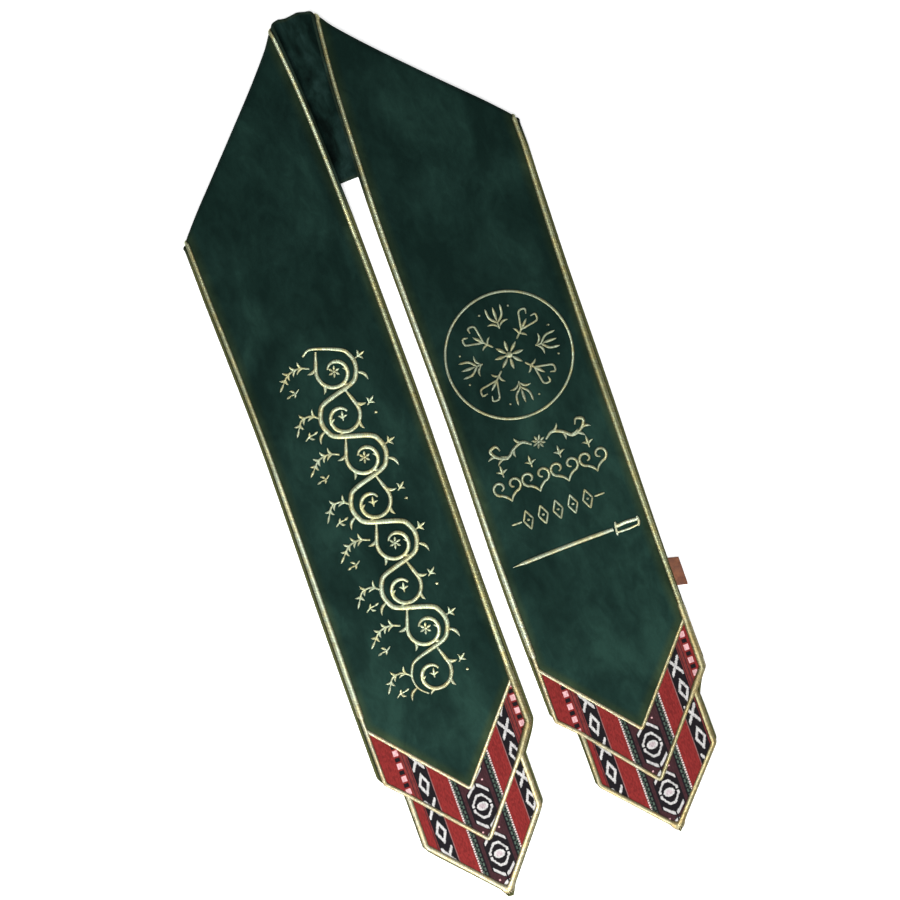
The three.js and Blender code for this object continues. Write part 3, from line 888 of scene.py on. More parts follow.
def stitched(name, lines, material, pitch, thread, slant, seed):
    """One piece made of raised lines, each covered with satin stitches."""
    vertices, faces, edges = [], [], []
    fronts, widths, shines = [], [], []
    count = 0

    def marked(line, repeats):
        for kept, values in ((fronts, line.fronts), (widths, line.widths), (shines, line.shines)):
            kept.append(np.repeat(values, repeats, 0))

    for line in lines:
        body, body_faces = line.body(count)
        vertices.append(body)
        faces += body_faces
        marked(line, DOME_STEPS)
        count += len(body)
    bodies = count
    for line in lines:
        run = len(line.points)
        vertices.append(line.seat())
        edges += [(count + i, count + i + 1) for i in range(run - 1)]
        if line.closed:
            edges.append((count + run - 1, count))
        marked(line, 1)
        count += run
    made = solid(name, np.concatenate(vertices), faces, edges)
    marks = (
        ("front", "FLOAT_VECTOR", "vector", np.concatenate(fronts).ravel()),
        ("width", "FLOAT", "value", np.concatenate(widths)),
        ("shine", "FLOAT", "value", np.concatenate(shines)),
        ("is_line", "BOOLEAN", "value", [i >= bodies for i in range(count)]),
    )
    for label, kind, field, values in marks:
        made.data.attributes.new(label, kind, "POINT").data.foreach_set(field, values)
    modifier = made.modifiers.new("stitches", "NODES")
    modifier.node_group = STITCHES
    values = {
        "Pitch": pitch * 0.001,
        "Thread": thread * 0.001,
        "Swell": lines[0].swell * STITCH_ARCH,
        "Slant": slant,
        "Seed": seed,
        "Material": material,
    }
    for item in STITCHES.interface.items_tree:
        if item.in_out == "INPUT" and item.name in values:
            modifier[item.identifier] = values[item.name]
    plain_copy(made)
    return made


def lengths_along(points):
    """How far along a run of straight stretches each point is."""
    return np.concatenate([[0], np.cumsum(np.linalg.norm(np.diff(points, axis=0), axis=1))])


def sampled(points, step):
    """Points along a run of straight stretches, a step apart."""
    points = np.asarray(points, float)
    lengths = lengths_along(points)
    count = max(2, round(lengths[-1] / step) + 1)
    at = np.linspace(0, lengths[-1], count)
    return np.stack([np.interp(at, lengths, points[:, k]) for k in range(points.shape[1])], -1)


def filleted(corners, radius):
    """A run of straight stretches whose corners are rounded."""
    corners = [np.array(c, float) for c in corners]
    run = [corners[0]]
    for before, corner, after in zip(corners, corners[1:], corners[2:]):
        back = unit(before - corner)
        ahead = unit(after - corner)
        half_turn = (math.pi - math.acos(float(np.clip(np.dot(back, ahead), -1, 1)))) / 2
        cut = radius * math.tan(half_turn)
        for t in np.linspace(0, 1, 7):
            start, end = corner + back * cut, corner + ahead * cut
            run.append((1 - t) ** 2 * start + 2 * t * (1 - t) * corner + t * t * end)
    run.append(corners[-1])
    return np.array(run)


# The bodies of the gold lines, and the stitches that cover them.
CORD_BODY = {
    "first": {"base": 1.2, "swell": 1.5},
    "velvet": {"base": 1.1, "swell": 1.4},
    "second": {"base": 1.0, "swell": 1.4},
}
CORD_STITCHES = {"pitch": 0.72, "thread": 0.85}

# The gold of each arrow line, on its left and on its right, for the panel of each sign: its width, and the
# painted light and shade along it.
ARROW_GOLD = {
    -1: {
        "velvet": {"width": (3.9, 3.9), "shine": (1.0, 0.95)},
        "first": {"width": (4.1, 4.5), "shine": (1.0, 0.95)},
        "second": {"width": (5.2, 5.6), "shine": (1.0, 0.92)},
    },
    1: {
        "velvet": {"width": (3.9, 3.9), "shine": (0.92, 0.66)},
        "first": {"width": (4.1, 4.3), "shine": (0.92, 0.62)},
        "second": {"width": (4.6, 5.2), "shine": (0.78, 0.62)},
    },
}

# How much wider the first arrow's gold gets towards its right corner, and how much painted shade darkens it
# there.
CORNER_GOLD = {-1: {"wider": 2.8, "dulled": 0.42}, 1: {"wider": 2.6, "dulled": 0.0}}
# The gold edging on the neck: its inset, its width and the painted shade that dims it there.
NECK_GOLD = {"inset": 4.7, "width": 3.6, "shine": 0.6}

# How much wider the edging is where it is folded over the second arrow's tip, and how far that reaches.
TIP_FOLD = {"wider": 3.2, "reach": 9.5}


def strip_run(sign):
    """Places of the gold edging along one long edge, from the left end to the right end."""
    run = []
    for row in STRIP_ROWS:
        inset, width, shine = NECK_GOLD.values()
        if row.y_of is not None:
            inset, width, shine = row.panel.gold_at(sign, row.y_of(np.array(sign * 70.0)))
        point, front = row.seats(np.array([sign * (HALF_WIDTH - inset)]))
        run.append((point[0], front[0], width, shine))
    return tuple(np.array(part) for part in zip(*run))


def arrow_run(panel, name, places):
    """Places of the gold along an arrow line, seated on the panel, with its width and the painted light and
    shade along it.
    """
    x, y = places[:, 0], places[:, 1]
    points, fronts = panel.seats(panel.across_at(x, y), y)
    corners = panel.lines[name]["x"]
    tip = corners[len(corners) // 2]
    share = rise(tip - 6, tip + 6, x)
    measures = ARROW_GOLD[panel.sign][name].values()
    widths, shines = (left + (right - left) * share for left, right in measures)
    return points, fronts, widths, shines


def edging_top(panel, side):
    """The drawing's place of the gold edging on a long edge, just above the arrow end."""
    top = END_ZONE_TOP - 3
    inset = panel.gold_at(side, top)[0]
    return float(panel.x_at(side * (HALF_WIDTH - inset), top)), top


def edge_cord(material):
    def round_end(panel, side):
        line = panel.lines["first"]
        corners = [edging_top(panel, side), *zip(line["x"], line["y"]), edging_top(panel, -side)]
        places = sampled(filleted(corners, 2.4), 1.6)
        points, fronts, widths, shines = arrow_run(panel, "first", places)
        corner = CORNER_GOLD[panel.sign]
        reach = rise(line["x"][3] - 7, line["x"][3] + 3, places[:, 0])
        return points, fronts, widths + corner["wider"] * reach, shines * (1 - corner["dulled"] * reach)

    back = tuple(part[::-1] for part in strip_run(-1))
    runs = (strip_run(1), round_end(RIGHT, 1), back, round_end(LEFT, -1))
    run = (np.concatenate(parts) for parts in zip(*runs))
    line = Line(*run, **CORD_BODY["first"], closed=True)
    return stitched("gold_edging", [line], material, **CORD_STITCHES, slant=-0.35, seed=11)


def v_cord(name, panel, material):
    line = panel.lines["velvet"]
    places = sampled(filleted([*zip(line["x"], line["y"])], 1.6), 1.6)
    line = Line(*arrow_run(panel, "velvet", places), **CORD_BODY["velvet"])
    return stitched(name, [line], material, **CORD_STITCHES, slant=0.35, seed=5)


def tip_cord(name, panel, material):
    """The second arrow's edging, which starts under the first arrow's edging on both sides."""
    line, first = panel.lines["second"], panel.lines["first"]
    left, tip, right = zip(line["x"], line["y"])
    starts = [(x, float(straight(first, x))) for x in (left[0], right[0])]
    places = sampled(filleted([starts[0], left, tip, right, starts[1]], 1.8), 1.6)
    points, fronts, widths, shines = arrow_run(panel, "second", places)
    from_tip = np.hypot(places[:, 0] - tip[0], places[:, 1] - tip[1])
    folded = TIP_FOLD["wider"] * hump(from_tip / TIP_FOLD["reach"])
    line = Line(points, fronts, widths + folded, shines, **CORD_BODY["second"])
    return stitched(name, [line], material, **CORD_STITCHES, slant=0.35, seed=6)


def label():
    """A folded leather tab. Its open end is sewn in behind the rim, and its fold faces out."""
    thick, reach, leather, tuck = (LABEL[key] for key in ("thickness", "reach", "leather", "tuck"))
    bend = thick / 2

    def turn(radius, way, count):
        """The fold's outer side (1) or its inner side (-1), as places outwards and up."""
        angles = np.linspace(0, math.pi, count)
        return [(reach - bend + radius * math.sin(t), bend - way * radius * math.cos(t)) for t in angles]

    def flat(height, outwards):
        places = [(tuck + (reach - bend - tuck) * i / 8, height) for i in range(8)]
        return places if outwards else places[::-1]

    profile = flat(0.0, True) + turn(bend, 1, 13) + flat(thick, False)
    profile += flat(thick - leather, True) + turn(bend - leather, -1, 7) + flat(leather, False)
    along = np.linspace(0, 1, 25)
    vertices = []
    for share in along:
        y = LABEL["bottom"] + (LABEL["top"] - LABEL["bottom"]) * share
        edge_x = float(RIGHT.point(-HALF_WIDTH, y)[0])
        soft_end = LABEL["uneven"] * (1 - min(1.0, 8 * min(share, 1 - share)))
        for out, up in profile:
            wave = LABEL["uneven"] * math.sin(3.1 * share * math.pi + out / 4)
            height = thick / 2 + (up - thick / 2) * (1 - soft_end) + wave * max(out, 0) / reach
            vertices.append((edge_x + out, y - LABEL["slant"] * out / reach, height + LABEL["clearance"]))
    count = len(profile)
    last = (len(along) - 1) * count
    faces = []
    for start in range(0, last, count):
        for k in range(count):
            far = (k + 1) % count
            faces.append((start + k, start + far, start + count + far, start + count + k))
    faces.append(tuple(range(count)))
    faces.append(tuple(last + k for k in reversed(range(count))))
    return solid("leather_tab", np.array(vertices), faces)


# Embroidery. A stroke is a run of places (x, y) with a width at each.
def flowing(points, step=1.0):
    """A smooth curve through points, as places a step apart."""
    points = np.asarray(points, float)
    padded = np.concatenate([[2 * points[0] - points[1]], points, [2 * points[-1] - points[-2]]])
    run = []
    for p0, p1, p2, p3 in zip(padded, padded[1:], padded[2:], padded[3:]):
        for t in np.linspace(0, 1, 12, endpoint=False):
            run.append(0.5 * (2 * p1 + (p2 - p0) * t + (2 * p0 - 5 * p1 + 4 * p2 - p3) * t * t
                              + (3 * p1 - p0 - 3 * p2 + p3) * t ** 3))
    run.append(points[-1])
    return sampled(run, step)


def stroke(points, width, start=0.35, end=0.35, step=1.0):
    """A stroke of one width that narrows to a share of it at its start and its end."""
    places = flowing(points, step)
    lengths = lengths_along(places)
    t = lengths / lengths[-1]
    taper = (start + (1 - start) * rise(0, 0.14, t)) * (end + (1 - end) * rise(1, 0.86, t))
    return places, width * taper


def leaf(x, y, angle, length, width, bend=0.12):
    """A pointed leaf that starts at a place and grows in the direction of angle, in degrees."""
    turn = math.radians(angle)
    ahead = np.array([math.cos(turn), math.sin(turn)])
    aside = np.array([-ahead[1], ahead[0]])
    t = np.linspace(0, 1, max(6, round(length)))
    bent = np.outer(np.sin(t * math.pi) * bend * length, aside)
    places = np.array([x, y]) + np.outer(t * length, ahead) + bent
    return places, 0.5 + (width - 0.5) * np.sin(np.clip(t * 0.94 + 0.06, 0, 1) * math.pi) ** 0.8


def ahead_of(x, y, angle, reach):
    """The place at a reach from another, in the direction of angle, in degrees."""
    turn = math.radians(angle)
    return x + reach * math.cos(turn), y + reach * math.sin(turn)


def heading(first, second):
    return math.degrees(math.atan2(second[1] - first[1], second[0] - first[0]))


def berry(x, y, size):
    t = np.linspace(-1, 1, 7)
    places = np.stack([x + t * size / 2, y + 0 * t], -1)
    return places, size * np.sqrt(np.clip(1.02 - t ** 2, 0.02, 1))


def leafy(places, width, share, size, hand):
    """A leaf that parts from a line at a share of its length, to the left (1) or the right (-1) of it."""
    i = int(share * (len(places) - 2))
    along = heading(places[i], places[i + 1])
    return leaf(*places[i], along + hand * 50, size, width, -0.15 * hand)


def trefoil(x, y, angle, size, width=2.6):
    """Three leaves from one foot, on a short stem."""
    strokes = [
        stroke([ahead_of(x, y, angle + 180, size * 0.3), (x, y)], width * 0.6, 0.7, 0.9, 0.8),
        leaf(x, y, angle, size, width, 0.0),
    ]
    for hand in (-1, 1):
        strokes.append(leaf(x, y, angle + 58 * hand, size * 0.72, width * 0.85, -0.16 * hand))
    return strokes


def blossom(x, y, size, petals=6, width=2.2, turn=0):
    """Petals round a raised middle."""
    strokes = [berry(x, y, size * 0.24)]
    for i in range(petals):
        angle = turn + 360 * i / petals
        strokes.append(leaf(*ahead_of(x, y, angle, size * 0.14), angle, size * 0.36, width, 0.0))
    return strokes


def sprig(x, y, angle, size, width=1.6):
    """A small twig: a curved stem with two leaves and a leaf at its tip."""
    foot = ahead_of(x, y, angle + 180, size / 2)
    tip = ahead_of(x, y, angle, size / 2)
    strokes = [
        stroke([foot, ahead_of(x, y, angle + 90, size * 0.12), tip], width, 0.6, 0.4, 0.8),
        leaf(*tip, angle, size * 0.45, width * 1.6, 0.0),
    ]
    for hand in (-1, 1):
        strokes.append(leaf(x, y, angle + 55 * hand, size * 0.5, width * 1.5, 0.12 * hand))
    return strokes


def spray(points, pairs, size, width=2.0):
    """A curved twig with pairs of leaves, and a leaf at its tip."""
    places, widths = stroke(points, width, 0.9, 0.5)
    strokes = [(places, widths)]
    for i in range(pairs):
        share = 0.22 + 0.66 * i / (pairs - 1)
        grown = size * (1 - 0.35 * i / pairs)
        strokes.append(leafy(places, width * 1.25, share, grown, 1))
        strokes.append(leafy(places, width * 1.25, share, grown, -1))
    strokes.append(leaf(*places[-1], heading(places[-3], places[-1]), size, width * 1.3, 0.0))
    return strokes


EMBROIDERY = {"base": VELVET["top"] - 0.25, "swell": 0.95}
SATIN_STITCHES = {"pitch": 0.6, "thread": 0.72, "slant": 0.18}


def embroidered(name, panel, strokes, material, seed):
    """Strokes laid on a panel's velvet, as one piece."""
    lines = []
    for places, widths in strokes:
        across = panel.across_at(places[:, 0], places[:, 1])
        points, fronts = panel.seats(across, places[:, 1])
        lines.append(Line(points, fronts, np.asarray(widths, float), 1 + 0 * across, **EMBROIDERY))
    return stitched(name, lines, material, **SATIN_STITCHES, seed=seed)


# The vine on the left panel winds down about VINE["x"], round one bay after another. A bay's middle lies
# VINE["sway"] to the right or to the left of it.
VINE = {"x": -76.0, "top": 104.0, "pitch": 40.5, "bays": 8, "radius": 18.5, "sway": 4.5}


def bay_middle(bay):
    side = 1 if bay % 2 == 0 else -1
    return side, VINE["x"] + side * VINE["sway"], VINE["top"] - VINE["pitch"] * bay


def wound(x, y, side, angles, reaches, count):
    """Places round a middle, from one angle and reach to another, mirrored where the side is -1."""
    run = []
    for angle, reach in zip(np.linspace(*angles, count), np.linspace(*reaches, count)):
        over, up = ahead_of(0, 0, angle, reach)
        run.append((x + side * over, y + up))
    return run


def vine_stem():
    """The stem passes each bay on its outer side."""
    points = [(VINE["x"] - 19, VINE["top"] + 21), (VINE["x"] - 10, VINE["top"] + 24.5)]
    for bay in range(VINE["bays"]):
        side, x, y = bay_middle(bay)
        points += wound(x, y, side, (60, -60), (VINE["radius"], VINE["radius"]), 5)
    return stroke(points, 4.6, 0.5, 0.35)


def vine_scroll(bay):
    """The branch that fills a bay: it leaves the stem above, and winds in to a flower or a leaf."""
    side, x, y = bay_middle(bay)
    radius = VINE["radius"]
    start = (x - side * radius * 0.62, y + radius * 1.12)
    winding = wound(x - side, y - 1, side, (150, 505), (radius * 0.93, radius * 0.36), 26)
    places, widths = stroke([start, *winding], 3.7, 0.6, 0.6)
    strokes = [(places, widths)]
    for share, size, width in ((0.17, 9.5, 3.3), (0.36, 8.5, 3.1), (0.56, 7.0, 2.9)):
        strokes.append(leafy(places, width, share, size, -side))
    strokes.append(leafy(places, 2.6, 0.72, 5.0, side))
    if side > 0:
        return strokes + blossom(x - 1.5, y - 1, 10.5, 6, 2.5, 15)
    return strokes + trefoil(x + 1, y - 2.5, 80, 6.5, 2.6)


def vine_sides(bay):
    """Leaves and twigs outside the stem, longer towards the panel's outer edge."""
    side, x, y = bay_middle(bay)
    edge = x + side * VINE["radius"]
    strokes = [leaf(edge - side, y - 8, -90 + side * 38, 12, 3.2, 0.18 * side)]
    if side > 0:
        strokes += trefoil(edge + 4.0, y + 5, 18, 7.5, 2.8)
        strokes += spray([(x - 22, y + 9), (x - 31, y + 12), (x - 41, y + 10), (x - 48, y + 3)], 4, 7.0)
        strokes += sprig(x - 41, y - 7, 200, 9)
    else:
        strokes += spray([(edge, y + 4), (edge - 7, y + 9), (edge - 16, y + 8), (edge - 21, y + 1)], 3, 7.0)
        strokes += sprig(edge - 14, y - 9, 20, 9)
        strokes += trefoil(x + 27.5, y + 3, 40, 7, 2.6)
        strokes.append(berry(x + 30.5, y - 7, 2.6))
    return strokes


def vine_strokes():
    strokes = [vine_stem()]
    for bay in range(VINE["bays"]):
        strokes += vine_scroll(bay)
        strokes += vine_sides(bay)
    return strokes


ROUNDEL = {"x": 79.0, "y": 64.8, "radius": 57.0, "line": 2.6}


def around(radius, angle):
    return ahead_of(ROUNDEL["x"], ROUNDEL["y"], angle, radius)


def tulip(x, y, angle, size, width):
    """A flower seen from its side: two outer petals that part, and one between them."""
    strokes = [
        leaf(*ahead_of(x, y, angle, size * 0.12), angle, size * 0.85, width * 1.25, 0.0),
        stroke([ahead_of(x, y, angle + 180, size * 0.42), (x, y)], width * 0.8, 0.8, 0.9, 0.8),
    ]
    for hand in (-1, 1):
        foot = ahead_of(x, y, angle + 90 * hand, size * 0.06)
        belly = ahead_of(*ahead_of(x, y, angle, size * 0.4), angle + 90 * hand, size * 0.42)
        lip = ahead_of(*ahead_of(x, y, angle, size), angle + 90 * hand, size * 0.5)
        strokes.append(stroke([foot, belly, lip], width, 0.8, 0.3, 0.8))
    return strokes


def roundel_strokes():
    """A ring with a flower in its middle, four flowers on its axes and four twigs between them."""
    ring = [around(ROUNDEL["radius"], angle) for angle in range(0, 362, 2)]
    strokes = [(np.array(ring), np.full(len(ring), ROUNDEL["line"]))]
    strokes += blossom(ROUNDEL["x"], ROUNDEL["y"], 26, 8, 3.4)
    for angle in range(0, 360, 90):
        strokes += tulip(*around(31, angle), angle, 14, 2.4)
        for hand in (-1, 1):
            strokes.append(leaf(*around(27, angle + 2 * hand), angle + 68 * hand, 9, 2.5, -0.18 * hand))
            strokes.append(berry(*around(44, angle + 18 * hand), 2.0))
    for angle in range(45, 360, 90):
        x, y = around(25, angle)
        strokes.append(stroke([around(16, angle), (x, y)], 2.1, 0.7, 0.8))
        strokes.append(leaf(x, y, angle, 10.5, 3.0, 0.0))
        for hand in (-1, 1):
            hook = [(x, y), around(33, angle + 9 * hand), around(40, angle + 13 * hand),
                    around(43.5, angle + 7 * hand), around(40, angle + 3.5 * hand)]
            strokes.append(stroke(hook, 2.0, 0.8, 0.6, 0.8))
            strokes.append(leaf(*around(21, angle + hand), angle + 75 * hand, 6.5, 2.3, -0.15 * hand))
    return strokes


def garland():
    """The first row: a flower, and a leafy scroll on either side of it."""
    x, y = 78.0, -17.0
    strokes = blossom(x, y, 12, 8, 2.6, 22.5)
    for hand in (-1, 1):
        wave = {"out": (7, 14, 23, 31, 40, 44, 38, 35.5), "up": (0, 4.5, 1.5, -4.5, -1, 6, 8.5, 4)}
        points = [(x + hand * out, y + up) for out, up in zip(*wave.values())]
        places, widths = stroke(points, 3.1, 0.7, 0.5)
        strokes.append((places, widths))
        for share, side in ((0.16, 1), (0.3, -1), (0.44, 1), (0.56, -1), (0.68, -1)):
            strokes.append(leafy(places, 2.7, share, 8.0, side * hand))
    return strokes


def scroll_row():
    """The second row: pairs of scrolls back to back, each under three leaves."""
    y = -44.0
    strokes = []
    for x in (38.0, 65.0, 92.0, 119.0):
        for hand in (-1, 1):
            stem = [(x, y - 15), (x + hand * 2.5, y - 11)]
            winding = wound(x + hand * 6.6, y - 1, hand, (-90, 250), (6.9, 2.5), 22)
            strokes.append(stroke(stem + winding, 2.6, 0.6, 0.6))
        strokes += trefoil(x, y + 10, 90, 8, 2.7)
    return strokes


def lozenge_row():
    y = -79.5
    strokes = []
    for x in (46, 60, 74, 88, 102):
        corners = [(x, y + 8.5), (x + 4.4, y), (x, y - 8.5), (x - 4.4, y)]
        for first, second in zip(corners, corners[1:] + corners[:1]):
            strokes.append(stroke([first, second], 2.1, 0.6, 0.6, 0.8))
        strokes.append(berry(x, y, 2.6))
    for x in (35, 113):
        strokes.append(stroke([(x - 4.5, y), (x + 4.5, y)], 2.1, 0.6, 0.6))
    return strokes


def sabre_strokes():
    """A plain sabre with a slightly bent blade, a cross guard and a bow round its grip."""
    return [
        stroke([(114, -113.0), (84, -113.2), (50, -114.0), (19, -115.2)], 3.8, 0.9, 0.2),
        stroke([(118, -107.5), (117, -113), (116.5, -119)], 2.6, 0.6, 0.6, 0.8),
        stroke([(117, -111.4), (127, -110.6), (137, -111)], 3.6, 0.8, 0.8, 0.8),
        stroke([(117, -116.8), (127, -117), (136, -116.2)], 2.2, 0.7, 0.8, 0.8),
        stroke([(138, -109), (138.4, -113), (137, -117.2)], 2.8, 0.7, 0.7, 0.8),
    ]


# Materials.
def mixed(tree, factor, first, second, blend="MIX"):
    """A mix of two colours. They are inputs 6 and 7 of the node, and the factor is input 0."""
    made = node(tree, "ShaderNodeMix", {"data_type": "RGBA", "blend_type": blend})
    for place, value in ((0, factor), (6, first), (7, second)):
        plug(tree, made.inputs[place], (*value, 1) if isinstance(value, tuple) else value)
    return made.outputs[2]


def dimmed(tree, colour, share):
    """A colour scaled by a share."""
    made = node(tree, "ShaderNodeVectorMath", {"operation": "SCALE"}, Scale=share)
    plug(tree, made.inputs[0], colour)
    return made.outputs[0]


def noise(tree, vector, scale, detail, roughness, distortion=0.0):
    made = node(tree, "ShaderNodeTexNoise", Vector=vector, Scale=scale, Detail=detail, Roughness=roughness,
                Distortion=distortion)
    return Field(tree, made.outputs[0])


def scaled(tree, vector, scale=(1, 1, 1), location=(0, 0, 0)):
    return node(tree, "ShaderNodeMapping", Vector=vector, Scale=scale, Location=location).outputs[0]


def attribute(tree, name):
    return Field(tree, node(tree, "ShaderNodeAttribute", {"attribute_name": name}).outputs["Fac"])


# The woven stripes, by distance in millimetres from the middle of the eye column.
WEAVE_STEP = 0.75
EYE_PITCH = 45.0
SQUARE_PITCH = 12.0
TWIST_PITCH = 4.5
YARN = {
    "red": (0.142, 0.0122, 0.0112),
    "deep red": (0.120, 0.0185, 0.0165),
    "maroon": (0.029, 0.0100, 0.0125),
    "black": (0.0030, 0.0034, 0.0048),
    "grey green": (0.042, 0.068, 0.052),
    "white": (0.385, 0.375, 0.365),
    "pink": (0.50, 0.28, 0.285),
    "dull pink": (0.16, 0.075, 0.072),
    "dull white": (0.48, 0.385, 0.365),
    "ash": (0.345, 0.29, 0.30),
}


def woven_pattern_tree():
    """The striped weave with its eyes, diamonds and squares, centred on one eye. u is a thread's distance
    from the middle column, and v is its place along the column."""
    inputs = [("Vector", "NodeSocketVector", None), ("Skew", "NodeSocketFloat", 0.0)]
    outputs = [("Color", "NodeSocketColor"), ("Relief", "NodeSocketFloat")]
    tree, given, out = group_tree("sadu_weave", "ShaderNodeTree", inputs, outputs)
    split = node(tree, "ShaderNodeSeparateXYZ", Vector=given["Vector"])
    x = Field(tree, split.outputs["X"]) * 1000
    y = Field(tree, split.outputs["Y"]) * 1000 - x * given["Skew"]
    u = x.stepped(WEAVE_STEP).size()
    v = y.stepped(WEAVE_STEP)
    eye = v.folded(EYE_PITCH, 0)
    diamond = v.folded(EYE_PITCH, -9.5)
    square = v.folded(SQUARE_PITCH, 46)
    pick = v.folded(TWIST_PITCH, 0).below(1.2)
    other_pick = v.folded(TWIST_PITCH, TWIST_PITCH / 2).below(1.2)
    fine_pick = v.folded(TWIST_PITCH / 2, 0).below(0.6)

    wide = u / 8.7
    tall = eye / 11.0
    ring = ((wide + tall) / 1.33).worked("MAXIMUM", wide).worked("MAXIMUM", tall)
    heart = ((u / 5.0).worked("POWER", 2.0) + (eye / 3.9).worked("POWER", 2.0)).worked("SQRT")
    gap = eye.below(0.5) * u.above(6.3)
    chevron = (eye + u * u * 0.018 + u * 0.7).near(20.4, 1.6) * u.between(0.4, 9.6)
    column = (u - 42.7).size()
    lozenge = column / 5.1 + diamond / 11.4
    cross = (column + diamond * 0.62).near(13.95, 1.4) * diamond.above(13.4)

    layers = (
        (u.between(0, 14.4), "maroon"),
        ((eye + u * 0.86).near(9.5, 13.5) * u.between(0, 10.9), "black"),
        (u.between(14.0, 21.1), "black"),
        (u.between(15.8, 17.2) * pick, "grey green"),
        (u.between(17.9, 19.3) * other_pick, "grey green"),
        (u.between(19.6, 21.1) * fine_pick, "dull white"),
        (u.between(35.0, 35.8), "dull pink"),
        (u.between(35.7, 48.4), "black"),
        (u.between(48.4, 54.6), "deep red"),
        (u.between(49.6, 50.5), "maroon"),
        (u.between(52.2, 53.0), "maroon"),
        (u.between(55.4, 60.2) * square.above(4.1), "black"),
        (ring.between(0.81, 1.0), "white"),
        (gap * ring.between(0.6, 1.1), "black"),
        (heart.below(1.0), "white"),
        (heart.below(0.6), "ash"),
        (chevron, "white"),
        (u.near(7.6, 1.0) * eye.near(22.5, 1.0), "pink"),
        (lozenge.between(0.54, 1.0), "white"),
        (cross * column.below(5.0), "white"),
        (u.between(55.7, 60.0) * square.below(2.5), "pink"),
        (v.below(26.0) * u.above(50.6), "red"),
    )
    colour = YARN["red"]
    for mask, yarn in layers:
        colour = mixed(tree, mask, colour, YARN[yarn])
    cell = node(tree, "ShaderNodeCombineXYZ", X=x.stepped(WEAVE_STEP), Y=y.stepped(WEAVE_STEP * 3))
    speckle = node(tree, "ShaderNodeTexWhiteNoise", {"noise_dimensions": "2D"}, Vector=cell.outputs[0])
    shade = Field(tree, speckle.outputs["Value"]) * 0.5 + 0.75
    warp = (x * (math.pi / WEAVE_STEP)).worked("SINE").size()
    weft = (y * (math.pi / (WEAVE_STEP * 1.5)) + u * (math.pi / WEAVE_STEP)).worked("SINE").size()
    feed(tree, out, Color=dimmed(tree, colour, shade), Relief=warp * 0.7 + weft * 0.3)
    return tree


def nap_tree():
    """The cloudy nap of velvet: slow clouds where the pile was brushed, and the fine pile itself. On the
    backing, whose tones lie far apart, the slow clouds are painted fold shade.
    """
    inputs = [("Vector", "NodeSocketVector", None), ("Cloud Size", "NodeSocketFloat", 22.0)]
    outputs = [("Cloud", "NodeSocketFloat"), ("Pile", "NodeSocketFloat")]
    tree, given, out = group_tree("velvet_nap", "ShaderNodeTree", inputs, outputs)
    vector = given["Vector"]
    smeared = scaled(tree, vector, (1.0, 0.55, 1.0))
    slow = noise(tree, smeared, given["Cloud Size"], 4.0, 0.55, 0.6)
    blotch = noise(tree, smeared, 95.0, 3.0, 0.6, 0.8)
    fine = noise(tree, vector, 1500.0, 2.0, 0.7)
    coarse = noise(tree, scaled(tree, vector, (1.0, 0.5, 1.0)), 520.0, 2.0, 0.6)
    feed(tree, out, Cloud=slow * 0.72 + blotch * 0.28, Pile=fine * 0.6 + coarse * 0.4)
    return tree


def thread_tree():
    """Twisted metal thread: a tone for each stitch, fine flecks where the twist catches the light, how far
    the thread has come up out of the cloth, moved aside by the lean, for a painted shade and a painted
    ridge highlight, and the painted light and shade along its line."""
    inputs = [("Vector", "NodeSocketVector", None), ("Lean", "NodeSocketFloat", 0.0)]
    outputs = [(name, "NodeSocketFloat") for name in ("Tone", "Fleck", "Crest", "Shine")]
    tree, given, out = group_tree("thread_twist", "ShaderNodeTree", inputs, outputs)
    drift = noise(tree, given["Vector"], 60.0, 3.0, 0.6)
    fleck = noise(tree, given["Vector"], 2600.0, 2.0, 0.6)
    tone = attribute(tree, "tone") * 0.45 + drift * 0.55
    # The ridge: how far the thread has come up, moved aside by the lean, which drives the painted shade and
    # the painted highlight.
    crest = attribute(tree, "crest") - attribute(tree, "aside") * given["Lean"]
    feed(tree, out, Tone=tone, Fleck=fleck, Crest=crest, Shine=attribute(tree, "shine"))
    return tree


NAP = nap_tree()
WEAVE = woven_pattern_tree()
TWIST = thread_tree()


def material(name, settings):
    """A material with the settings of its shader, and the coordinates of its piece."""
    made = bpy.data.materials.new(name)
    made.use_nodes = True
    tree = made.node_tree
    shader = tree.nodes["Principled BSDF"]
    for label, value in settings.items():
        shader.inputs[label].default_value = value
    return made, tree, shader, tree.nodes.new("ShaderNodeTexCoord").outputs["Object"]


def ramp(tree, factor, stops):
    made = tree.nodes.new("ShaderNodeValToRGB")
    plug(tree, made.inputs[0], factor)
    places = made.color_ramp.elements
    while len(places) < len(stops):
        places.new(0.5)
    for place, (position, colour) in zip(places, stops):
        place.position = position
        place.color = (*colour, 1)
    return made.outputs[0]


def bumped(tree, shader, height, distance, strength):
    made = node(tree, "ShaderNodeBump", Strength=strength, Distance=distance, Height=height)
    feed(tree, shader, Normal=made.outputs[0])


VELVET_SHEEN = {"Sheen Weight": 0.03, "Sheen Roughness": 0.45, "Sheen Tint": (0.28, 0.5, 0.42, 1)}

# The place along the panels, in metres, where the velvet is as light as its clouds make it: below it,
# towards the arrow ends, painted light makes it lighter, and above it painted shade makes it darker.
PAINTED_LIGHT_MIDDLE = -0.09


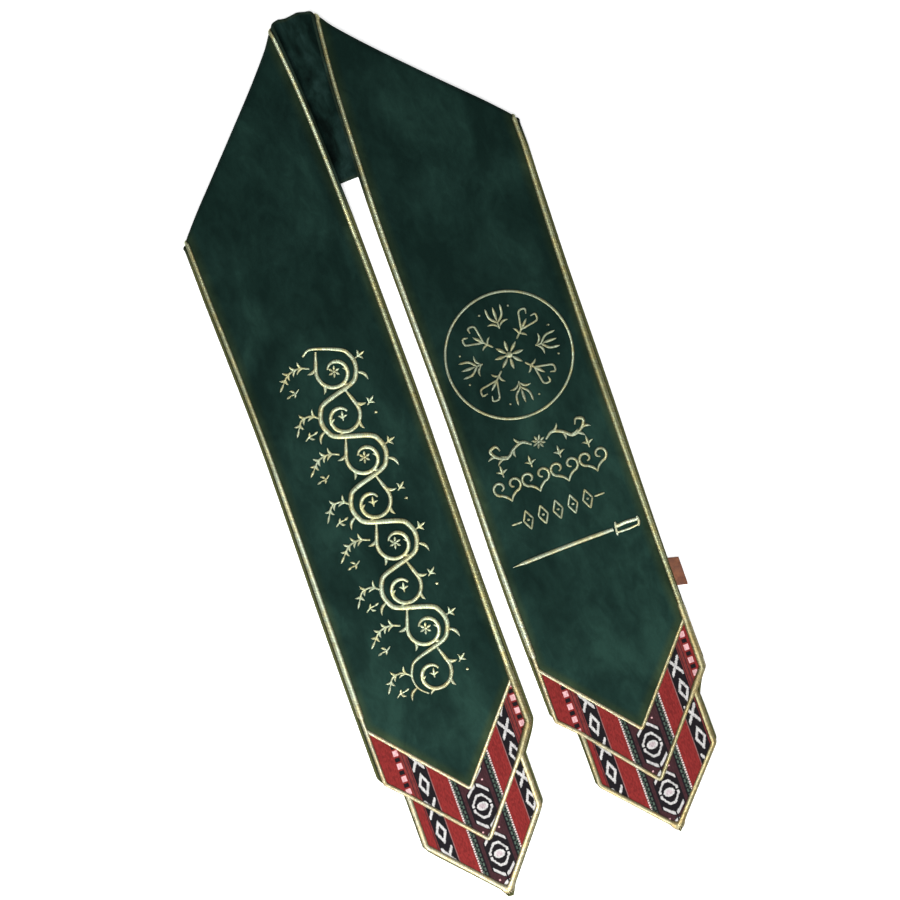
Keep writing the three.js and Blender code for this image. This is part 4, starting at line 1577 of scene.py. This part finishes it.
def velvet(name, tones, cloud_size, rim, blend, lighter_down=0.0):
    """Velvet with a cloudy nap of three tones. The rim colour covers or tints it near the edge, where on
    the front velvet it is a painted warm reflection of the gold, and painted light can make it lighter
    towards the arrow ends and darker towards the neck."""
    settings = {"Roughness": 0.85, "Specular IOR Level": 0.05, **VELVET_SHEEN}
    made, tree, shader, vector = material(name, settings)
    nap = node(tree, "ShaderNodeGroup", {"node_tree": NAP}, Vector=vector, Cloud_Size=cloud_size).outputs
    y = Field(tree, node(tree, "ShaderNodeSeparateXYZ", Vector=vector).outputs["Y"])
    # Painted light and shade along the panels: lighter towards the arrow ends, darker towards the neck.
    cloud = Field(tree, nap["Cloud"]) - (y - PAINTED_LIGHT_MIDDLE) * lighter_down
    pile = Field(tree, nap["Pile"])
    colour = ramp(tree, cloud, [*zip((0.36, 0.5, 0.66), tones)])
    colour = mixed(tree, attribute(tree, "rim"), colour, rim, blend)
    feed(tree, shader, Base_Color=dimmed(tree, colour, pile * 0.7 + 0.65))
    bumped(tree, shader, pile, 0.0004, 0.7)
    return made


# Where the gold starts to look warmer towards the arrow ends, in metres, and its tint there.
WARM_GOLD = {"from": -0.185, "to": -0.235, "tint": (0.87, 0.745, 0.69)}

# The painted shade of gold thread by how far it has come up out of the cloth: dark and brown low down,
# where it dives in, and full at its ridge.
PAINTED_SHADE_GOLD = ((0.3, (0.16, 0.13, 0.07)), (0.62, (0.55, 0.52, 0.45)), (0.9, (1, 1, 1)))

# The painted light and shade of gold thread along its lines: it gets darker and browner where less light is
# painted.
PAINTED_LIGHT_GOLD = ((0.4, (0.455, 0.425, 0.31)), (0.7, (0.74, 0.72, 0.61)), (1.0, (1.0, 1.0, 1.0)))

# The hue of gold thread drifts between these two tints.
HUE_DRIFT = ((0.36, (1.08, 0.985, 0.80)), (0.56, (0.965, 1.01, 1.03)))


def gold(name, deep, bright, lean):
    """Gold thread with a painted shade, dark and brown, where it dives into the cloth, and painted light
    and shade along its lines. Lean moves the painted bright ridge to one side of a line."""
    made, tree, shader, vector = material(name, {"Metallic": 0.8})
    twist = node(tree, "ShaderNodeGroup", {"node_tree": TWIST}, Vector=vector, Lean=lean).outputs
    y = Field(tree, node(tree, "ShaderNodeSeparateXYZ", Vector=vector).outputs["Y"])
    towards_end = (y - WARM_GOLD["from"]) / (WARM_GOLD["to"] - WARM_GOLD["from"])
    colour = ramp(tree, twist["Tone"], ((0.15, deep), (0.75, bright)))
    tints = (
        (twist["Crest"], PAINTED_SHADE_GOLD),
        (twist["Shine"], PAINTED_LIGHT_GOLD),
        (towards_end, ((0.0, (1.0, 1.0, 1.0)), (1.0, WARM_GOLD["tint"]))),
        (noise(tree, vector, 110.0, 2.0, 0.6), HUE_DRIFT),
    )
    for factor, stops in tints:
        colour = mixed(tree, 1.0, colour, ramp(tree, factor, stops), "MULTIPLY")
    fleck = Field(tree, twist["Fleck"])
    feed(tree, shader, Base_Color=colour, Roughness=fleck * 0.25 + 0.25)
    bumped(tree, shader, fleck, 0.00015, 0.5)
    return made


def woven(name, eye_x, eye_y, skew):
    """Woven cloth whose pattern is centred on an eye, given in the drawing's millimetres."""
    settings = {"Roughness": 0.82, "Specular IOR Level": 0.08, "Sheen Weight": 0.01}
    made, tree, shader, vector = material(name, settings)
    eye = metres(np.array([eye_x, eye_y, 0.0]))
    centred = scaled(tree, vector, location=(-eye[0], -eye[1], 0))
    weave = node(tree, "ShaderNodeGroup", {"node_tree": WEAVE}, Vector=centred, Skew=skew).outputs
    fuzz = noise(tree, vector, 1800.0, 2.0, 0.7)
    feed(tree, shader, Base_Color=mixed(tree, fuzz * 0.05, weave["Color"], (0.12, 0.06, 0.06)))
    bumped(tree, shader, Field(tree, weave["Relief"]) * 0.8 + fuzz * 0.2, 0.0003, 0.8)
    return made


LEATHER_BROWNS = ((0.3, (0.066, 0.018, 0.006)), (0.5, (0.118, 0.036, 0.012)), (0.7, (0.175, 0.060, 0.022)))


def leather(name):
    made, tree, shader, vector = material(name, {"Specular IOR Level": 0.35})
    cells = Field(tree, node(tree, "ShaderNodeTexVoronoi", Vector=vector, Scale=1500.0).outputs["Distance"])
    drift = noise(tree, vector, 160.0, 4.0, 0.6)
    pores = (cells * 0.5 + 0.72).worked("MINIMUM", 1.0)
    colour = dimmed(tree, ramp(tree, drift, LEATHER_BROWNS), pores)
    feed(tree, shader, Base_Color=colour, Roughness=drift * 0.3 + 0.42)
    bumped(tree, shader, cells + drift * 0.5, 0.0002, 0.6)
    return made


VELVET_TONES = ((0.0026, 0.0108, 0.0084), (0.0052, 0.0180, 0.0140), (0.0102, 0.0315, 0.0240))
# The backing's tones lie far apart, and its large dark and light clouds are painted fold shade on the neck.
BACKING_TONES_AND_FOLD_SHADE = ((0.0006, 0.0034, 0.0026), (0.0040, 0.0140, 0.0112), (0.0125, 0.0320, 0.0280))
# The front velvet: its rim colour is a painted warm reflection of the gold beside it, and painted light
# makes it lighter towards the arrow ends.
VELVET_FINISH = velvet("green_velvet", VELVET_TONES, cloud_size=20.0, rim=(2.4, 1.3, 0.82),
                       blend="MULTIPLY", lighter_down=0.20)
BACKING_FINISH = velvet("backing_velvet", BACKING_TONES_AND_FOLD_SHADE, cloud_size=52.0, rim=(0.056, 0.060, 0.022),
                        blend="MIX")
# The edging's lean puts the painted highlight of its gold towards one side of each line.
EDGE_GOLD = gold("gold_edging_thread", deep=(0.535, 0.56, 0.37), bright=(0.865, 0.92, 0.73), lean=0.2)
STITCH_GOLD = gold("gold_embroidery_thread", deep=(0.46, 0.48, 0.29), bright=(0.79, 0.85, 0.62), lean=0.0)
FINE_GOLD = gold("fine_gold_thread", deep=(0.285, 0.30, 0.175), bright=(0.53, 0.575, 0.42), lean=0.0)
WEAVES = {
    "left": woven("left_woven_cloth", eye_x=-78.2, eye_y=-306.4, skew=0.0),
    "right": woven("right_woven_cloth", eye_x=82.8, eye_y=-305.6, skew=0.03),
}
LEATHER = leather("brown_leather")


# Pieces.
def dress(made, finish, slot, *nodes):
    """Gives a finished piece its material and its place in the frame."""
    if not made.data.materials:
        made.data.materials.append(finish)
    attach(made, "root")
    if nodes:
        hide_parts(*nodes)
    return made


backing_piece = dress(backing(), BACKING_FINISH, "backing_cloth", "backing")
velvet_piece = dress(velvet_front(), VELVET_FINISH, "velvet", "velvet_front")
edging_piece = dress(edge_cord(EDGE_GOLD), EDGE_GOLD, "gold_thread", "edge_cord")
dress(label(), LEATHER, "label_leather", "label")

BANDS = {
    "upper": {"half": VELVET_HALF_WIDTH, "top_line": "velvet", "bottom_line": "first", "top_height": 2.35},
    "lower": {"half": 54.0, "top_line": "first", "bottom_line": "second", "top_height": 1.95},
}
CORDS = {"v": v_cord, "tip": tip_cord}

cords, bands = [], []
for side, panel in PANELS.items():
    for level, measures in BANDS.items():
        band = woven_band(f"{side}_{level}_weave", panel, **measures)
        bands.append(dress(band, WEAVES[side], "woven_cloth", f"{side}_{level}_band"))
    for line_name, corded in CORDS.items():
        cord = corded(f"{side}_{line_name}_edging", panel, EDGE_GOLD)
        cords.append(dress(cord, EDGE_GOLD, "gold_thread", f"{side}_{line_name}_cord"))

# Each piece of embroidery: its name, its panel, its strokes, its thread and its seed.
NEEDLEWORK = (
    ("left_vine", LEFT, vine_strokes(), STITCH_GOLD, 21),
    ("right_roundel", RIGHT, roundel_strokes(), FINE_GOLD, 22),
    ("right_rows", RIGHT, garland() + scroll_row() + lozenge_row(), FINE_GOLD, 23),
    ("right_sabre", RIGHT, sabre_strokes(), EDGE_GOLD, 24),
)
embroidery = [dress(embroidered(*work), work[3], "gold_thread") for work in NEEDLEWORK]


# The studio.
PHOTO = {"turn": 19.6, "middle": (0.9, 2.5, 0.0), "width": 0.8036, "camera_height": 2.2}
FLOOR = {"reach": 4, "height": -0.0004}

# Each light: its place, the point that it faces, its side and its power in watts.
LIGHTS = (
    ("key", (-0.6, -0.9, 2.3), (0, -0.25, 0), 2.0, 39),
    ("fill", (1.2, 0.9, 1.7), (0, 0.1, 0), 1.4, 8),
    ("low", (-0.5, -1.0, 0.7), (0, -0.34, 0), 0.7, 27),
)


def set_up(name, data, place, turns):
    """Puts a camera or a lamp in its place."""
    made = new_object(name, data)
    made.location = place
    made.rotation_euler = turns
    return made


def lamp_turns(place, target):
    """The turns that point a lamp at a target."""
    x, y, z = np.array(target) - np.array(place)
    return math.atan2(math.hypot(x, y), -z), 0, math.atan2(y, x) - math.pi / 2


def studio():
    """A pale floor, soft light from large panels, and a camera straight above, turned as in the photo."""
    reach = FLOOR["reach"]
    corners = [(reach * x, reach * y, FLOOR["height"]) for x, y in ((-1, -1), (1, -1), (1, 1), (-1, 1))]
    floor = new_object("floor", new_mesh("floor", corners, [(0, 1, 2, 3)]))
    glow = {"Emission Color": (1.0, 1.0, 0.995, 1), "Emission Strength": 0.45}
    surface = material("pale_floor", {"Base Color": (0.96, 0.96, 0.955, 1), "Roughness": 0.9, **glow})
    floor.data.materials.append(surface[0])

    lens = bpy.data.cameras.new("camera")
    lens.sensor_width = 36
    lens.lens = lens.sensor_width * PHOTO["camera_height"] / PHOTO["width"]
    middle = metres(np.array(PHOTO["middle"]))
    place = (middle[0], middle[1], PHOTO["camera_height"])
    bpy.context.scene.camera = set_up("camera", lens, place, (0, 0, -math.radians(PHOTO["turn"])))

    for name, place, target, side, power in LIGHTS:
        lamp = bpy.data.lights.new(name, "AREA")
        lamp.shape = "SQUARE"
        lamp.size = side
        lamp.energy = power
        set_up(name, lamp, place, lamp_turns(place, target))

    world = bpy.data.worlds.new("studio")
    world.use_nodes = True
    sky = world.node_tree.nodes["Background"].inputs
    sky["Color"].default_value = (0.95, 0.97, 1.0, 1)
    sky["Strength"].default_value = 0.33
    bpy.context.scene.world = world
    bpy.context.scene.view_settings.view_transform = "Standard"


studio()
